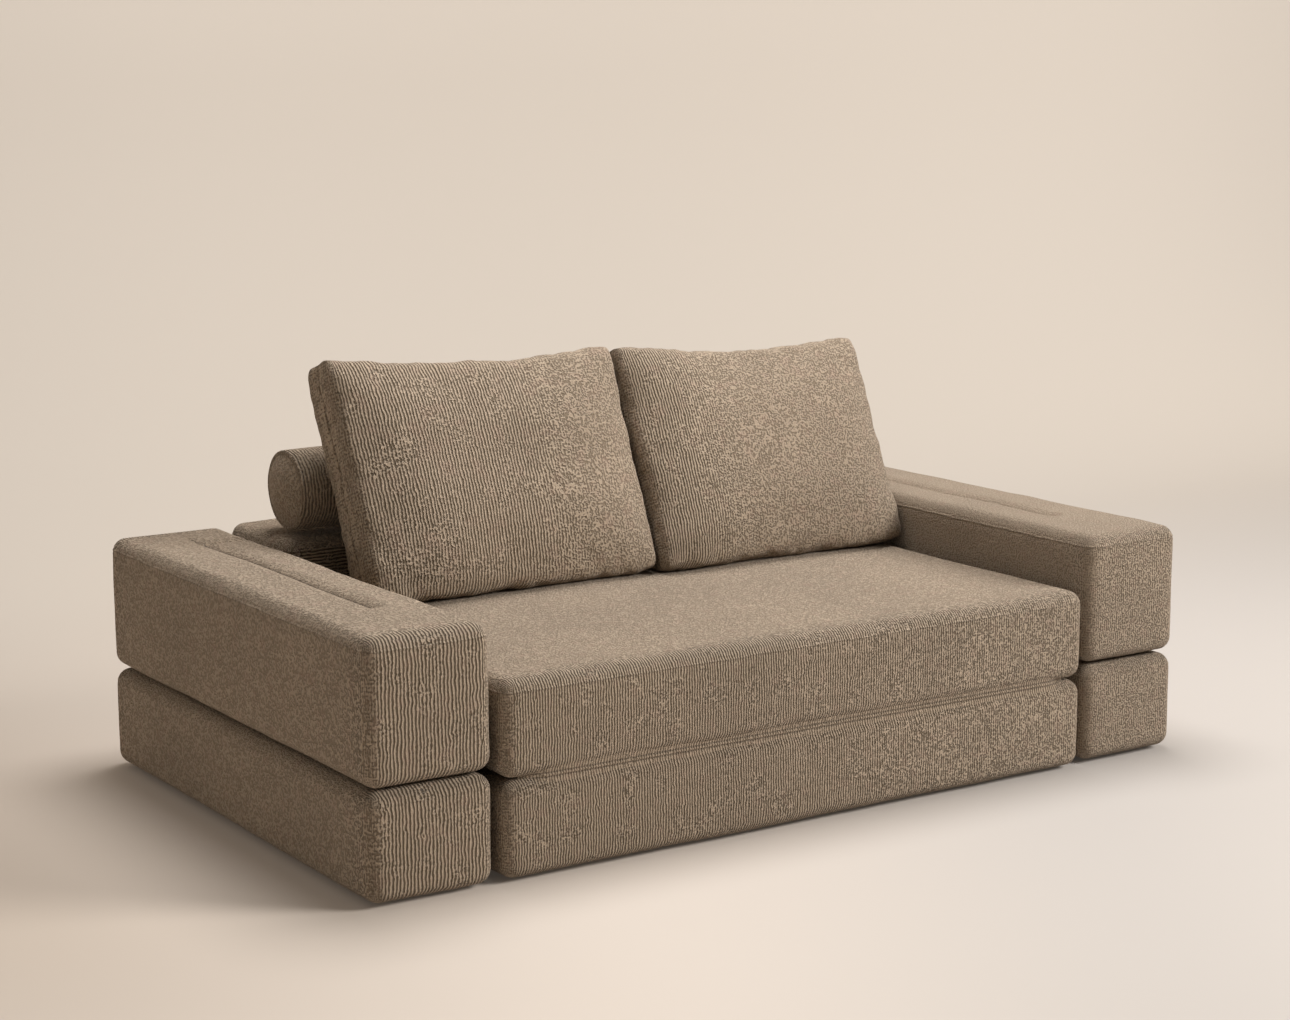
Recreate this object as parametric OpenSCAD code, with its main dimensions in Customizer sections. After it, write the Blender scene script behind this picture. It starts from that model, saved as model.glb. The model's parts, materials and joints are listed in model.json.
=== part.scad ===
// Modular foam sofa bed: two stacked arms, a fold-out seat, a stacked back, a bolster and two back pillows.
// Millimetres. X runs along the sofa, the front faces -Y, and Z is up from the floor.
// The origin is on the floor under the middle of the sofa.

/* [Sofa] */
// Width over both arms
overall_w = 2240; // [1900:10:2600]
// Depth from the seat's front face to the rear faces
overall_d = 1360; // [1250:10:1600]
// Gap between neighbouring blocks
block_gap = 12; // [10:1:20]
// Height of the glides under the blocks
glide_h = 5; // [4:1:10]

/* [Arms] */
// Width of an arm
arm_w = 302; // [260:2:360]
// Height of the arms
arm_h = 570; // [520:5:640]
// Height of the joint between an arm's two layers
arm_split_h = 247; // [200:1:300]
// How far the arms stand behind the seat's front face
arm_setback = 9; // [0:1:40]
// Distance of the long channel from the arm's outer face
channel_inset = 168; // [130:2:190]
// Distance of the long channel's front end from the arm's front face
channel_start = 274; // [150:2:400]

/* [Seat] */
// Depth of the seat
seat_d = 1012; // [900:2:1040]
// Height of the fold line, which is also the mattress's thickness
seat_split_h = 222; // [190:1:250]

/* [Back] */
// Depth of the back's front puff, up to its cross channel
back_puff_d = 129; // [100:1:160]
// How much higher the back stands than the arms
back_rise = 6; // [0:1:20]

/* [Cushions] */
// Radius of the blocks' rounded edges
edge_r = 36; // [30:1:44]
// Thickness of the cover and wadding over the foam
wadding_t = 18; // [16:1:22]
// How far a free face crowns at its middle
crown_h = 5; // [2:1:8]
// How far a hidden side face draws in at its middle
drawn_in = 2; // [0:1:4]
// Width of a sewn channel
channel_w = 36; // [24:2:48]
// Depth of a sewn channel
channel_depth = 12; // [6:1:14]
// Thickness of the mattress's soft comfort layer
comfort_t = 40; // [20:5:60]

/* [Pillows] */
// Distance between the left pillow and the left arm
pillow_left_gap = 114; // [2:1:140]
// Distance between the right pillow and the right arm
pillow_right_gap = 1; // [1:1:40]
// Height of the left pillow along its slope
pillow_left_h = 596; // [540:2:630]
// Height of the right pillow along its slope
pillow_right_h = 578; // [540:2:630]
// Where the two pillows meet, to the right of the middle
pillow_meet_x = 70; // [40:1:80]
// Thickness of a pillow at its middle
pillow_t = 220; // [180:2:250]
// Backward lean of the left pillow in degrees
pillow_left_lean = 22.5; // [18:0.5:26]
// Backward lean of the right pillow in degrees
pillow_right_lean = 24.5; // [18:0.5:26]
// Distance of the left pillow's foot behind the seat's front face
pillow_left_y = 790; // [740:1:800]
// Distance of the right pillow's foot behind the seat's front face
pillow_right_y = 758; // [700:1:790]
// How far a pillow's top sags between its corners
pillow_sag = 30; // [8:1:40]
// How far a pillow's top rises towards its left end and falls towards its right end
pillow_slope = 11; // [0:1:16]
// Thickness of the band along a pillow's rim, where its seam runs
pillow_rim_t = 50; // [20:2:80]
// How far a pillow's sides and foot draw in between its corners
pillow_draw = 4; // [0:1:12]
// How far a pillow's corners are rounded off
pillow_corner = 4; // [2:1:24]
// How far a pillow stands into the seat where its foot flattens
pillow_sink = 12; // [4:1:24]

/* [Bolster] */
// Length of the bolster
bolster_l = 1550; // [1200:10:1600]
// Diameter of the bolster
bolster_d = 200; // [160:2:210]
// Clearance between the bolster and the rearmost pillow
bolster_gap = 1.5; // [1:0.5:10]

/* [Fittings] */
// Thickness of the plywood base boards
board_t = 12; // [9:1:18]
// Radius of a glide
glide_r = 20; // [14:1:25]
// Distance of the glides from a block's edges
glide_inset = 80; // [65:1:110]
// Distance of the side plates from the seat's front and rear
plate_inset = 220; // [120:10:300]
// Thickness of the steel joining plates
plate_t = 2.5; // [1.5:0.5:3]
// Length of a joining plate
plate_l = 150; // [130:5:180]
// Width of a joining plate
plate_w = 50; // [30:2:70]
// Distance of the screws from a plate's ends
screw_inset = 12; // [10:1:25]
// Radius of the joining screws
screw_r = 3; // [2:0.25:4]
// Thickness of a hook or loop strip
strip_t = 0.9; // [0.6:0.1:1.2]
// Width of a hook or loop strip
strip_w = 50; // [30:2:70]
// Distance of the hook and loop strips from a block's edges
strip_inset = 90; // [70:5:120]
// Width of a zip's tape
tape_w = 32; // [26:1:40]
// Thickness of a zip's tape
tape_t = 1.2; // [0.8:0.1:1.6]
// Depth of the pocket that hides a zip
zip_pocket = 7; // [6.5:0.5:9]
// Height of a zip above its block's underside
zip_height = 60; // [50:5:80]
// How far a zip ends before a block's rounded corner
zip_inset = 66; // [40:2:100]

/* [Hidden] */

// Clearance between soft pieces that lie against each other
rest_gap = 0.3;
// Clearance of a screw in its hole
screw_gap = 0.05;

// Where the blocks stand
front_y = -overall_d / 2;
rear_y = overall_d / 2;
arm_front_y = front_y + arm_setback;
arm_outer_x = overall_w / 2;
arm_inner_x = arm_outer_x - arm_w;
seat_x = arm_inner_x - block_gap;
seat_rear_y = front_y + seat_d;
back_front_y = seat_rear_y + block_gap;
seat_h = 2 * seat_split_h;
back_h = arm_h + back_rise;

// The two strips and the gap between them part stacked blocks
stack_gap = 2 * strip_t + rest_gap;
arm_seam_low = arm_split_h - stack_gap / 2;
arm_seam_high = arm_split_h + stack_gap / 2;

// Each block is [x low, x high], [y low, y high], [z low, z high]
arm_base_box = [[-arm_outer_x, -arm_inner_x], [arm_front_y, rear_y], [glide_h, arm_seam_low]];
arm_top_box = [[-arm_outer_x, -arm_inner_x], [arm_front_y, rear_y], [arm_seam_high, arm_h]];
seat_base_box = [[-seat_x, seat_x], [front_y, seat_rear_y], [glide_h, seat_split_h - rest_gap / 2]];
mattress_box = [[-seat_x, seat_x], [front_y, seat_rear_y], [seat_split_h + rest_gap / 2, seat_h]];
back_base_box = [[-seat_x, seat_x], [back_front_y, rear_y], [glide_h, arm_seam_low]];
back_top_box = [[-seat_x, seat_x], [back_front_y, rear_y], [arm_seam_high, back_h]];

function low(box) = [for (side = box) side[0]];
function high(box) = [for (side = box) side[1]];
function middle(box) = (low(box) + high(box)) / 2;
function span(box) = high(box) - low(box);

// A soft block is a lattice of points on a box, rounded at its edges and pushed out or in on each face.
// bulge holds six amounts: [x low, x high, y low, y high, z low, z high].
bevel = 0.586;
function unit_or_zero(v) = norm(v) > 0 ? v / norm(v) : v;
function nearest(value, limit) = max(-limit, min(limit, value));
function core_point(q, half, r) = [for (a = [0:2]) nearest(q[a], half[a] - r)];
function face_bulge(q, bulge, a) = q[a] < 0 ? -bulge[2 * a] : bulge[2 * a + 1];
function fade(q, half, a) = 1 - pow(q[a] / half[a], 2);
function bulged(q, half, r, bulge) =
  let (c = core_point(q, half, r))
  let (n = unit_or_zero(q - c))
  c + r * n + [for (a = [0:2])
    face_bulge(q, bulge, a) * n[a] * n[a] * fade(q, half, (a + 1) % 3) * fade(q, half, (a + 2) % 3)];
function steps(half, r, count) = [for (i = [1:count]) -half + r + 2 * (half - r) * i / (count + 1)];
function grid(half, r, inner) =
  concat([-half, -half + bevel * r, -half + r], inner, [half - r, half - bevel * r, half]);

function lattice_faces(nx, ny, nz) =
  let (at = function(i, j, k) i + (nx + 1) * (j + (ny + 1) * k))
  concat(
    [for (k = [0, nz], i = [0:nx - 1], j = [0:ny - 1])
      each patch([at(i, j, k), at(i, j + 1, k), at(i + 1, j + 1, k), at(i + 1, j, k)], k > 0)],
    [for (i = [0, nx], j = [0:ny - 1], k = [0:nz - 1])
      each patch([at(i, j, k), at(i, j, k + 1), at(i, j + 1, k + 1), at(i, j + 1, k)], i > 0)],
    [for (j = [0, ny], i = [0:nx - 1], k = [0:nz - 1])
      each patch([at(i, j, k), at(i, j, k + 1), at(i + 1, j, k + 1), at(i + 1, j, k)], j == 0)]
  );
function patch(p, forward) =
  forward ? [[p[0], p[1], p[2]], [p[0], p[2], p[3]]] : [[p[0], p[2], p[1]], [p[0], p[3], p[2]]];

module lattice(gx, gy, gz, place) {
  points = [for (z = gz, y = gy, x = gx) place([x, y, z])];
  polyhedron(points, lattice_faces(len(gx) - 1, len(gy) - 1, len(gz) - 1), convexity = 4);
}

// How deep a sewn channel runs at a distance across it
function valley(distance) = max(0, 1 - abs(distance) / (channel_w / 2));

// A face's outermost plane lies at the box, so a face that crowns starts lower by its crown
function shrunk(box, bulge) = [for (a = [0:2])
  [box[a][0] + max(0, bulge[2 * a]), box[a][1] - max(0, bulge[2 * a + 1])]];

module soft_block(box, bulge, counts) {
  body = shrunk(box, bulge);
  half = span(body) / 2;
  translate(middle(body))
    lattice(
      grid(half[0], edge_r, steps(half[0], edge_r, counts[0])),
      grid(half[1], edge_r, steps(half[1], edge_r, counts[1])),
      grid(half[2], edge_r, steps(half[2], edge_r, counts[2])),
      function(q) bulged(q, half, edge_r, bulge)
    );
}

// The room for the foam inside a block
function inside(box) = [for (side = box) [side[0] + wadding_t + crown_h, side[1] - wadding_t - crown_h]];
module box_solid(box) translate(low(box)) cube(span(box));
module core_room(box) box_solid(inside(box));
module foam_part(box, z_low, z_high) box_solid([inside(box)[0], inside(box)[1], [z_low, z_high]]);
function board_top(box) = inside(box)[2][0] + board_t;

// Joining plates and their screws, under the blocks. Each entry is [x, y, angle].
plate_y_front = front_y + plate_inset;
plate_y_rear = seat_rear_y - plate_inset;
arm_joint_x = seat_x + block_gap / 2;
back_joint_y = seat_rear_y + block_gap / 2;
back_plate_x = seat_x / 2;
plate_places = [
  [-arm_joint_x, plate_y_front, 0], [-arm_joint_x, plate_y_rear, 0],
  [arm_joint_x, plate_y_front, 0], [arm_joint_x, plate_y_rear, 0],
  [-back_plate_x, back_joint_y, 90], [back_plate_x, back_joint_y, 90]
];
screw_reach = plate_l / 2 - screw_inset;
module at_plates() for (p = plate_places) translate([p[0], p[1], 0]) rotate([0, 0, p[2]]) children();
module at_screws() at_plates() for (s = [-1, 1]) translate([s * screw_reach, 0, 0]) children();
screw_top = glide_h + wadding_t + crown_h + board_t;
module screw_holes() at_screws() cylinder(r = screw_r + screw_gap, h = screw_top + 1, $fn = 24);

// Zips lie in pockets. Their own frame has x along the zip and y out of the face.
teeth_w = 6;
teeth_t = 1.6;
slider_l = 14;
slider_w = 10;
slider_t = 2.2;
slider_gap = 0.3;
stop_l = 4;
stop_t = 1.3;
pull_l = 28;
pull_w = 7;
pull_t = 1.2;
pull_eye_r = 1.8;
pull_eye_inset = 4;
arm_zip_l = span(arm_base_box)[1] - 2 * (edge_r + zip_inset);
seat_zip_l = 2 * (seat_x - edge_r - zip_inset);
arm_zip_y = (arm_front_y + rear_y) / 2;
slider_start = stop_l + slider_l / 2 + slider_gap;
module zip_room(length) translate([-length / 2, -zip_pocket, -tape_w / 2 - 1])
  cube([length, 2 * zip_pocket, tape_w + 2]);
module zip_parts(length) {
  translate([-length / 2, -zip_pocket, -tape_w / 2]) cube([length, tape_t, tape_w]);
  translate([-length / 2, tape_t - zip_pocket, -teeth_w / 2]) cube([length, teeth_t, teeth_w]);
  for (s = [-1, 1])
    translate([s * (length - stop_l) / 2 - stop_l / 2, tape_t + teeth_t - zip_pocket, -teeth_w / 2])
      cube([stop_l, stop_t, teeth_w]);
}
slider_floor = tape_t + teeth_t + slider_gap - zip_pocket;
module slider_parts(length) translate([slider_start - length / 2, slider_floor, 0]) {
  difference() {
    translate([-slider_l / 2, slider_gap - teeth_t, -slider_w / 2])
      cube([slider_l, teeth_t - slider_gap + slider_t, slider_w]);
    translate([-slider_l, -teeth_t, -teeth_w / 2 - slider_gap])
      cube([2 * slider_l, teeth_t, teeth_w + 2 * slider_gap]);
  }
  difference() {
    translate([0, slider_t, -pull_w / 2]) cube([pull_l, pull_t, pull_w]);
    translate([pull_l - pull_eye_inset, slider_t - pull_t, 0]) rotate([-90, 0, 0])
      cylinder(r = pull_eye_r, h = 3 * pull_t, $fn = 24);
  }
}
arm_base_zip_z = glide_h + zip_height;
arm_top_zip_z = arm_seam_high + zip_height;
module arm_zip(z) dark_colour() at_left_arm_zip(z) zip_parts(arm_zip_l);
module arm_slider(z) steel_colour() at_left_arm_zip(z) slider_parts(arm_zip_l);
module rear_zip(y, z) dark_colour() at_rear_zip(y, z) zip_parts(seat_zip_l);
module rear_slider(y, z) steel_colour() at_rear_zip(y, z) slider_parts(seat_zip_l);
module at_left_arm_zip(z) translate([-arm_inner_x, arm_zip_y, z]) rotate([0, 0, -90]) children();
module at_rear_zip(y, z) translate([0, y, z]) children();
module right_side() mirror([1, 0, 0]) children();

// Colours
module cover_colour() color([0.52, 0.45, 0.37]) children();
module foam_colour() color([0.93, 0.89, 0.72]) children();
module wood_colour() color([0.76, 0.6, 0.4]) children();
module dark_colour() color([0.16, 0.14, 0.13]) children();
module steel_colour() color([0.7, 0.7, 0.72]) children();

// Arms, drawn on the left and mirrored to the right
side_bulge = [crown_h - 1, -drawn_in, crown_h - 1, crown_h - 2, 0, 0];
top_bulge = [crown_h - 1, -drawn_in, crown_h - 1, crown_h - 2, 0, crown_h];

module arm_base_cover() cover_colour() difference() {
  soft_block(arm_base_box, side_bulge, [1, 4, 1]);
  core_room(arm_base_box);
  at_left_arm_zip(arm_base_zip_z) zip_room(arm_zip_l);
  screw_holes();
}
module arm_base_board() wood_colour() difference() {
  foam_part(arm_base_box, inside(arm_base_box)[2][0], board_top(arm_base_box));
  screw_holes();
}
module arm_base_foam() foam_colour()
  foam_part(arm_base_box, board_top(arm_base_box), inside(arm_base_box)[2][1]);

arm_body = shrunk(arm_top_box, top_bulge);
arm_half = span(arm_body) / 2;
arm_mid = middle(arm_body);
channel_x = channel_inset - arm_w / 2;
channel_front_y = arm_front_y + channel_start - arm_mid[1];
cross_y = back_front_y + back_puff_d - arm_mid[1];
channel_ramp = 40;
channel_end_y = arm_half[1] - edge_r;
function share(part, whole) = max(0, min(1, part / whole));
function arm_channel(q) = channel_depth * max(
  valley(q[0] - channel_x) * share(q[1] - channel_front_y, channel_ramp)
    * share(channel_end_y - q[1], channel_end_y - cross_y),
  q[0] > channel_x ? valley(q[1] - cross_y) : 0
);
function across(centre) = [centre - channel_w / 2, centre, centre + channel_w / 2];
function between(a, b, count) = [for (i = [1:count]) a + (b - a) * i / (count + 1)];
channel_full_y = channel_front_y + channel_ramp;
module arm_top_form() translate(arm_mid) lattice(
  grid(arm_half[0], edge_r, concat(
    between(edge_r - arm_half[0], channel_x - channel_w / 2, 1), across(channel_x),
    between(channel_x + channel_w / 2, arm_half[0] - edge_r, 1))),
  grid(arm_half[1], edge_r, concat(
    between(edge_r - arm_half[1], channel_front_y, 1), [channel_front_y, channel_full_y],
    between(channel_full_y, cross_y - channel_w / 2, 2), across(cross_y))),
  grid(arm_half[2], edge_r, [0]),
  function(q)
    let (c = core_point(q, arm_half, edge_r))
    let (up = max(0, unit_or_zero(q - c)[2]))
    bulged(q, arm_half, edge_r, top_bulge) - [0, 0, arm_channel(q) * up * up]
);
module arm_top_cover() cover_colour() difference() {
  arm_top_form();
  core_room(arm_top_box);
  at_left_arm_zip(arm_top_zip_z) zip_room(arm_zip_l);
}
module arm_top_foam() foam_colour() core_room(arm_top_box);

// Glides stand under a block's board, inset from its edges
module glides(box, columns) dark_colour()
  for (i = [0:columns - 1], y = [box[1][0] + glide_inset, box[1][1] - glide_inset])
    translate([box[0][0] + glide_inset + i * (span(box)[0] - 2 * glide_inset) / (columns - 1), y, 0])
      cylinder(r = glide_r, h = glide_h, $fn = 48);

// Hook strips lie on the lower block and loop strips under the upper one
module strips(box, z) for (y = [box[1][0] + strip_inset, box[1][1] - strip_inset - strip_w])
  translate([box[0][0] + strip_inset, y, z]) cube([span(box)[0] - 2 * strip_inset, strip_w, strip_t]);
module hook_strips(box) dark_colour() strips(box, arm_seam_low);
module loop_strips(box) dark_colour() strips(box, arm_seam_high - strip_t);

// Seat
seat_base_bulge = [-drawn_in, -drawn_in, crown_h - 1, -drawn_in, 0, 0];
mattress_bulge = [-drawn_in, -drawn_in, crown_h - 1, -drawn_in, 0, crown_h];
module seat_base_cover() cover_colour() difference() {
  soft_block(seat_base_box, seat_base_bulge, [4, 3, 1]);
  core_room(seat_base_box);
  at_rear_zip(seat_rear_y, arm_base_zip_z) zip_room(seat_zip_l);
  screw_holes();
}
module seat_base_board() wood_colour() difference() {
  foam_part(seat_base_box, inside(seat_base_box)[2][0], board_top(seat_base_box));
  screw_holes();
}
module seat_base_foam() foam_colour()
  foam_part(seat_base_box, board_top(seat_base_box), inside(seat_base_box)[2][1]);

mattress_zip_z = seat_split_h + zip_height;
comfort_z = inside(mattress_box)[2][1] - comfort_t;
module mattress_cover() cover_colour() difference() {
  soft_block(mattress_box, mattress_bulge, [5, 4, 1]);
  core_room(mattress_box);
  at_rear_zip(seat_rear_y, mattress_zip_z) zip_room(seat_zip_l);
}
module mattress_foam() foam_colour() foam_part(mattress_box, inside(mattress_box)[2][0], comfort_z);
module mattress_comfort_layer() color([0.96, 0.95, 0.9])
  foam_part(mattress_box, comfort_z, inside(mattress_box)[2][1]);

// The fold strip is a flat welt across the notch between the seat's layers, with a flange in the notch.
// Its two halves meet at the fold line.
fold_h = 4;
fold_t = 2.4;
flange_t = 1.2;
fold_end = edge_r + crown_h;
function notch_depth(z) = edge_r + crown_h - 1 - rest_gap - sqrt(edge_r * edge_r - pow(edge_r - z, 2));
fold_outline = concat(
  [[0, rest_gap / 2], [0, fold_h], [fold_t, fold_h], [fold_t, flange_t]],
  [for (z = [flange_t, 2 * rest_gap, rest_gap]) [notch_depth(z), z]],
  [[notch_depth(2 * rest_gap), rest_gap / 2]]
);
module fold_half() translate([-seat_x + fold_end, front_y, 0]) rotate([90, 0, 90])
  linear_extrude(2 * (seat_x - fold_end)) polygon(fold_outline);
module fold_strip_upper() cover_colour() translate([0, 0, seat_split_h]) fold_half();
module fold_strip_lower() cover_colour() translate([0, 0, seat_split_h]) mirror([0, 0, 1]) fold_half();

// Back
back_base_bulge = [-drawn_in, -drawn_in, -drawn_in, crown_h - 2, 0, 0];
back_bulge = [-drawn_in, -drawn_in, -drawn_in, crown_h - 2, 0, crown_h];
module back_base_cover() cover_colour() difference() {
  soft_block(back_base_box, back_base_bulge, [4, 1, 1]);
  core_room(back_base_box);
  at_rear_zip(rear_y, arm_base_zip_z) zip_room(seat_zip_l);
  screw_holes();
}
module back_base_board() wood_colour() difference() {
  foam_part(back_base_box, inside(back_base_box)[2][0], board_top(back_base_box));
  screw_holes();
}
module back_base_foam() foam_colour()
  foam_part(back_base_box, board_top(back_base_box), inside(back_base_box)[2][1]);

back_body = shrunk(back_top_box, back_bulge);
back_half = span(back_body) / 2;
back_mid = middle(back_body);
back_cross_y = back_front_y + back_puff_d - back_mid[1];
module back_top_form() translate(back_mid) lattice(
  grid(back_half[0], edge_r, steps(back_half[0], edge_r, 5)),
  grid(back_half[1], edge_r, concat(
    across(back_cross_y), between(back_cross_y + channel_w / 2, back_half[1] - edge_r, 1))),
  grid(back_half[2], edge_r, [0]),
  function(q)
    let (c = core_point(q, back_half, edge_r))
    let (up = max(0, unit_or_zero(q - c)[2]))
    let (sink = channel_depth * valley(q[1] - back_cross_y) * up * up)
    bulged(q, back_half, edge_r, back_bulge) - [0, 0, sink]
);
module back_top_cover() cover_colour() difference() {
  back_top_form();
  core_room(back_top_box);
  at_rear_zip(rear_y, arm_top_zip_z) zip_room(seat_zip_l);
}
module back_top_foam() foam_colour() core_room(back_top_box);

// Pillows: plump, with full sides that are stuffed out to the corners, and a sagging top.
// Each is [middle x, foot behind the seat's front face, width, height, lean].
pillow_gap = 2;
function pillow(x_low, x_high, y, height, lean) = [(x_low + x_high) / 2, y, x_high - x_low, height, lean];
left_pillow = pillow(
  pillow_left_gap - arm_inner_x, pillow_meet_x - pillow_gap / 2, pillow_left_y, pillow_left_h,
  pillow_left_lean);
right_pillow = pillow(
  pillow_meet_x + pillow_gap / 2, arm_inner_x - pillow_right_gap, pillow_right_y, pillow_right_h,
  pillow_right_lean);

// A pillow's foot lies flat on the seat's crown
foot_reach = 25;
function seat_top(x, y) =
  seat_h - crown_h + crown_h * (1 - pow(x / seat_x, 2)) * (1 - pow(2 * y / seat_d - 1, 2));
function foot_z(p) = seat_top(0, p[1] - foot_reach) + rest_gap;
pillow_u = [-1, -0.994, -0.97, -0.91, -0.78, -0.55, -0.28, 0, 0.28, 0.55, 0.78, 0.91, 0.97, 0.994, 1];
pillow_layers = [-1, 1];
side_power = 5;
top_power = 3.4;
blend_power = 2.6;
corner_power = 8;
function fullness(share, power) = pow(1 - pow(abs(share), power), 1 / power);
function both_full(a, b) =
  min(a, b) > 0 ? pow(pow(a, -blend_power) + pow(b, -blend_power) - 1, -1 / blend_power) : 0;
function pillow_half_t(u, v) =
  let (full = both_full(fullness(u, side_power), fullness(v, top_power)))
  (pillow_rim_t + (pillow_t - pillow_rim_t) * full) / 2;
function pillow_point(q, p) =
  let (u = q[0], v = q[2])
  let (inset = pillow_corner * pow(abs(u * v), corner_power))
  [
    u * (p[2] / 2 - pillow_draw * (1 - v * v) - inset),
    q[1] * pillow_half_t(u, v),
    v * (p[3] / 2 - (v > 0 ? pillow_sag : pillow_draw) * (1 - u * u) - inset) - pillow_slope * u * (v + 1) / 2
  ];
module pillow_form(p) lattice(pillow_u, pillow_layers, pillow_u, function(q) pillow_point(q, p));
module at_pillow(p) translate([p[0], front_y + p[1], foot_z(p) - pillow_sink])
  rotate([-p[4], 0, 0]) translate([0, 0, p[3] / 2]) children();

// The filling's share of a pillow's width, thickness and height
fill_share = [0.76, 0.5, 0.74];
module pillow_inside(p)
  cube([p[2] * fill_share[0], pillow_t * fill_share[1], p[3] * fill_share[2]], center = true);
module pillow_cover(p) cover_colour() difference() {
  at_pillow(p) pillow_form(p);
  at_pillow(p) pillow_inside(p);
  translate([-overall_w / 2, front_y, foot_z(p) - p[3]]) cube([overall_w, overall_d, p[3]]);
}
module pillow_fill(p) foam_colour() at_pillow(p) pillow_inside(p);

// Bolster: a stuffed roll with puffed ends, flattened where it rests on the back
bolster_r = bolster_d / 2;
bolster_flat = 2;
bolster_z = back_h + rest_gap + bolster_r - bolster_flat;
bolster_end_r = 30;
bolster_puff = 14;
bolster_core_r = bolster_r - wadding_t;
function arc_points(centre, r, from, to, count) =
  [for (i = [0:count]) let (a = from + (to - from) * i / count) centre + r * [cos(a), sin(a)]];
bolster_shoulder = [bolster_r - bolster_end_r, bolster_l / 2 - bolster_puff - bolster_end_r];
bolster_side = arc_points(bolster_shoulder, bolster_end_r, 0, 90, 6);
bolster_cap = [for (i = [1:5]) let (x = (bolster_r - bolster_end_r) * (1 - i / 5))
  [x, bolster_l / 2 - bolster_puff * pow(x / (bolster_r - bolster_end_r), 2)]];
bolster_profile = concat(bolster_side, bolster_cap);

// The bolster lies where the rearmost pillow leans against it
function bolster_reach(p) = p[1] + (bolster_z - foot_z(p) + pillow_sink) * tan(p[4])
  + (bolster_r + pillow_t / 2 + bolster_gap) / cos(p[4]);
bolster_y = front_y + max(bolster_reach(left_pillow), bolster_reach(right_pillow));
module at_bolster() translate([0, bolster_y, bolster_z]) rotate([0, 90, 0]) children();
module bolster_cover() cover_colour() difference() {
  at_bolster() for (s = [0, 1]) mirror([0, 0, s])
    rotate_extrude($fn = 64) polygon(concat([[0, 0], [bolster_r, 0]], bolster_profile));
  at_bolster() cylinder(r = bolster_core_r, h = bolster_l - 4 * bolster_end_r, center = true, $fn = 64);
  translate([-bolster_l, 0, back_h + rest_gap - bolster_r]) cube([2 * bolster_l, rear_y, bolster_r]);
}
module bolster_foam() foam_colour() at_bolster()
  cylinder(r = bolster_core_r, h = bolster_l - 4 * bolster_end_r, center = true, $fn = 64);

// Plates and screws
plate_z = glide_h - plate_t;
head_t = 1.6;
head_overlap = 0.01;
module joining_plates() steel_colour() difference() {
  at_plates() translate([-plate_l / 2, -plate_w / 2, plate_z]) cube([plate_l, plate_w, plate_t]);
  screw_holes();
}
module joining_screws() steel_colour() at_screws() {
  translate([0, 0, plate_z - head_t]) cylinder(r = 2 * screw_r, h = head_t, $fn = 32);
  translate([0, 0, plate_z - head_overlap]) cylinder(r = screw_r, h = screw_top - plate_z, $fn = 24);
}

arm_base_cover();  // arm_base_cover_left
right_side() arm_base_cover();  // arm_base_cover_right
arm_base_foam();  // arm_base_foam_left
right_side() arm_base_foam();  // arm_base_foam_right
arm_base_board();  // arm_base_board_left
right_side() arm_base_board();  // arm_base_board_right
glides(arm_base_box, 2);  // arm_base_glides_left
right_side() glides(arm_base_box, 2);  // arm_base_glides_right
arm_zip(arm_base_zip_z);  // arm_base_zip_left
right_side() arm_zip(arm_base_zip_z);  // arm_base_zip_right
arm_slider(arm_base_zip_z);  // arm_base_slider_left
right_side() arm_slider(arm_base_zip_z);  // arm_base_slider_right
hook_strips(arm_base_box);  // arm_hook_strips_left
right_side() hook_strips(arm_base_box);  // arm_hook_strips_right
loop_strips(arm_top_box);  // arm_loop_strips_left
right_side() loop_strips(arm_top_box);  // arm_loop_strips_right
arm_top_cover();  // arm_top_cover_left
right_side() arm_top_cover();  // arm_top_cover_right
arm_top_foam();  // arm_top_foam_left
right_side() arm_top_foam();  // arm_top_foam_right
arm_zip(arm_top_zip_z);  // arm_top_zip_left
right_side() arm_zip(arm_top_zip_z);  // arm_top_zip_right
arm_slider(arm_top_zip_z);  // arm_top_slider_left
right_side() arm_slider(arm_top_zip_z);  // arm_top_slider_right
seat_base_cover();
seat_base_foam();
seat_base_board();
glides(seat_base_box, 3);  // seat_base_glides
rear_zip(seat_rear_y, arm_base_zip_z);  // seat_base_zip
rear_slider(seat_rear_y, arm_base_zip_z);  // seat_base_slider
mattress_cover();
mattress_foam();
mattress_comfort_layer();
rear_zip(seat_rear_y, mattress_zip_z);  // mattress_zip
rear_slider(seat_rear_y, mattress_zip_z);  // mattress_slider
fold_strip_lower();
fold_strip_upper();
back_base_cover();
back_base_foam();
back_base_board();
glides(back_base_box, 3);  // back_base_glides
rear_zip(rear_y, arm_base_zip_z);  // back_base_zip
rear_slider(rear_y, arm_base_zip_z);  // back_base_slider
hook_strips(back_base_box);  // back_hook_strips
loop_strips(back_top_box);  // back_loop_strips
back_top_cover();
back_top_foam();
rear_zip(rear_y, arm_top_zip_z);  // back_top_zip
rear_slider(rear_y, arm_top_zip_z);  // back_top_slider
bolster_cover();
bolster_foam();
pillow_cover(left_pillow);  // pillow_cover_left
pillow_cover(right_pillow);  // pillow_cover_right
pillow_fill(left_pillow);  // pillow_fill_left
pillow_fill(right_pillow);  // pillow_fill_right
joining_plates();
joining_screws();
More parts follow.
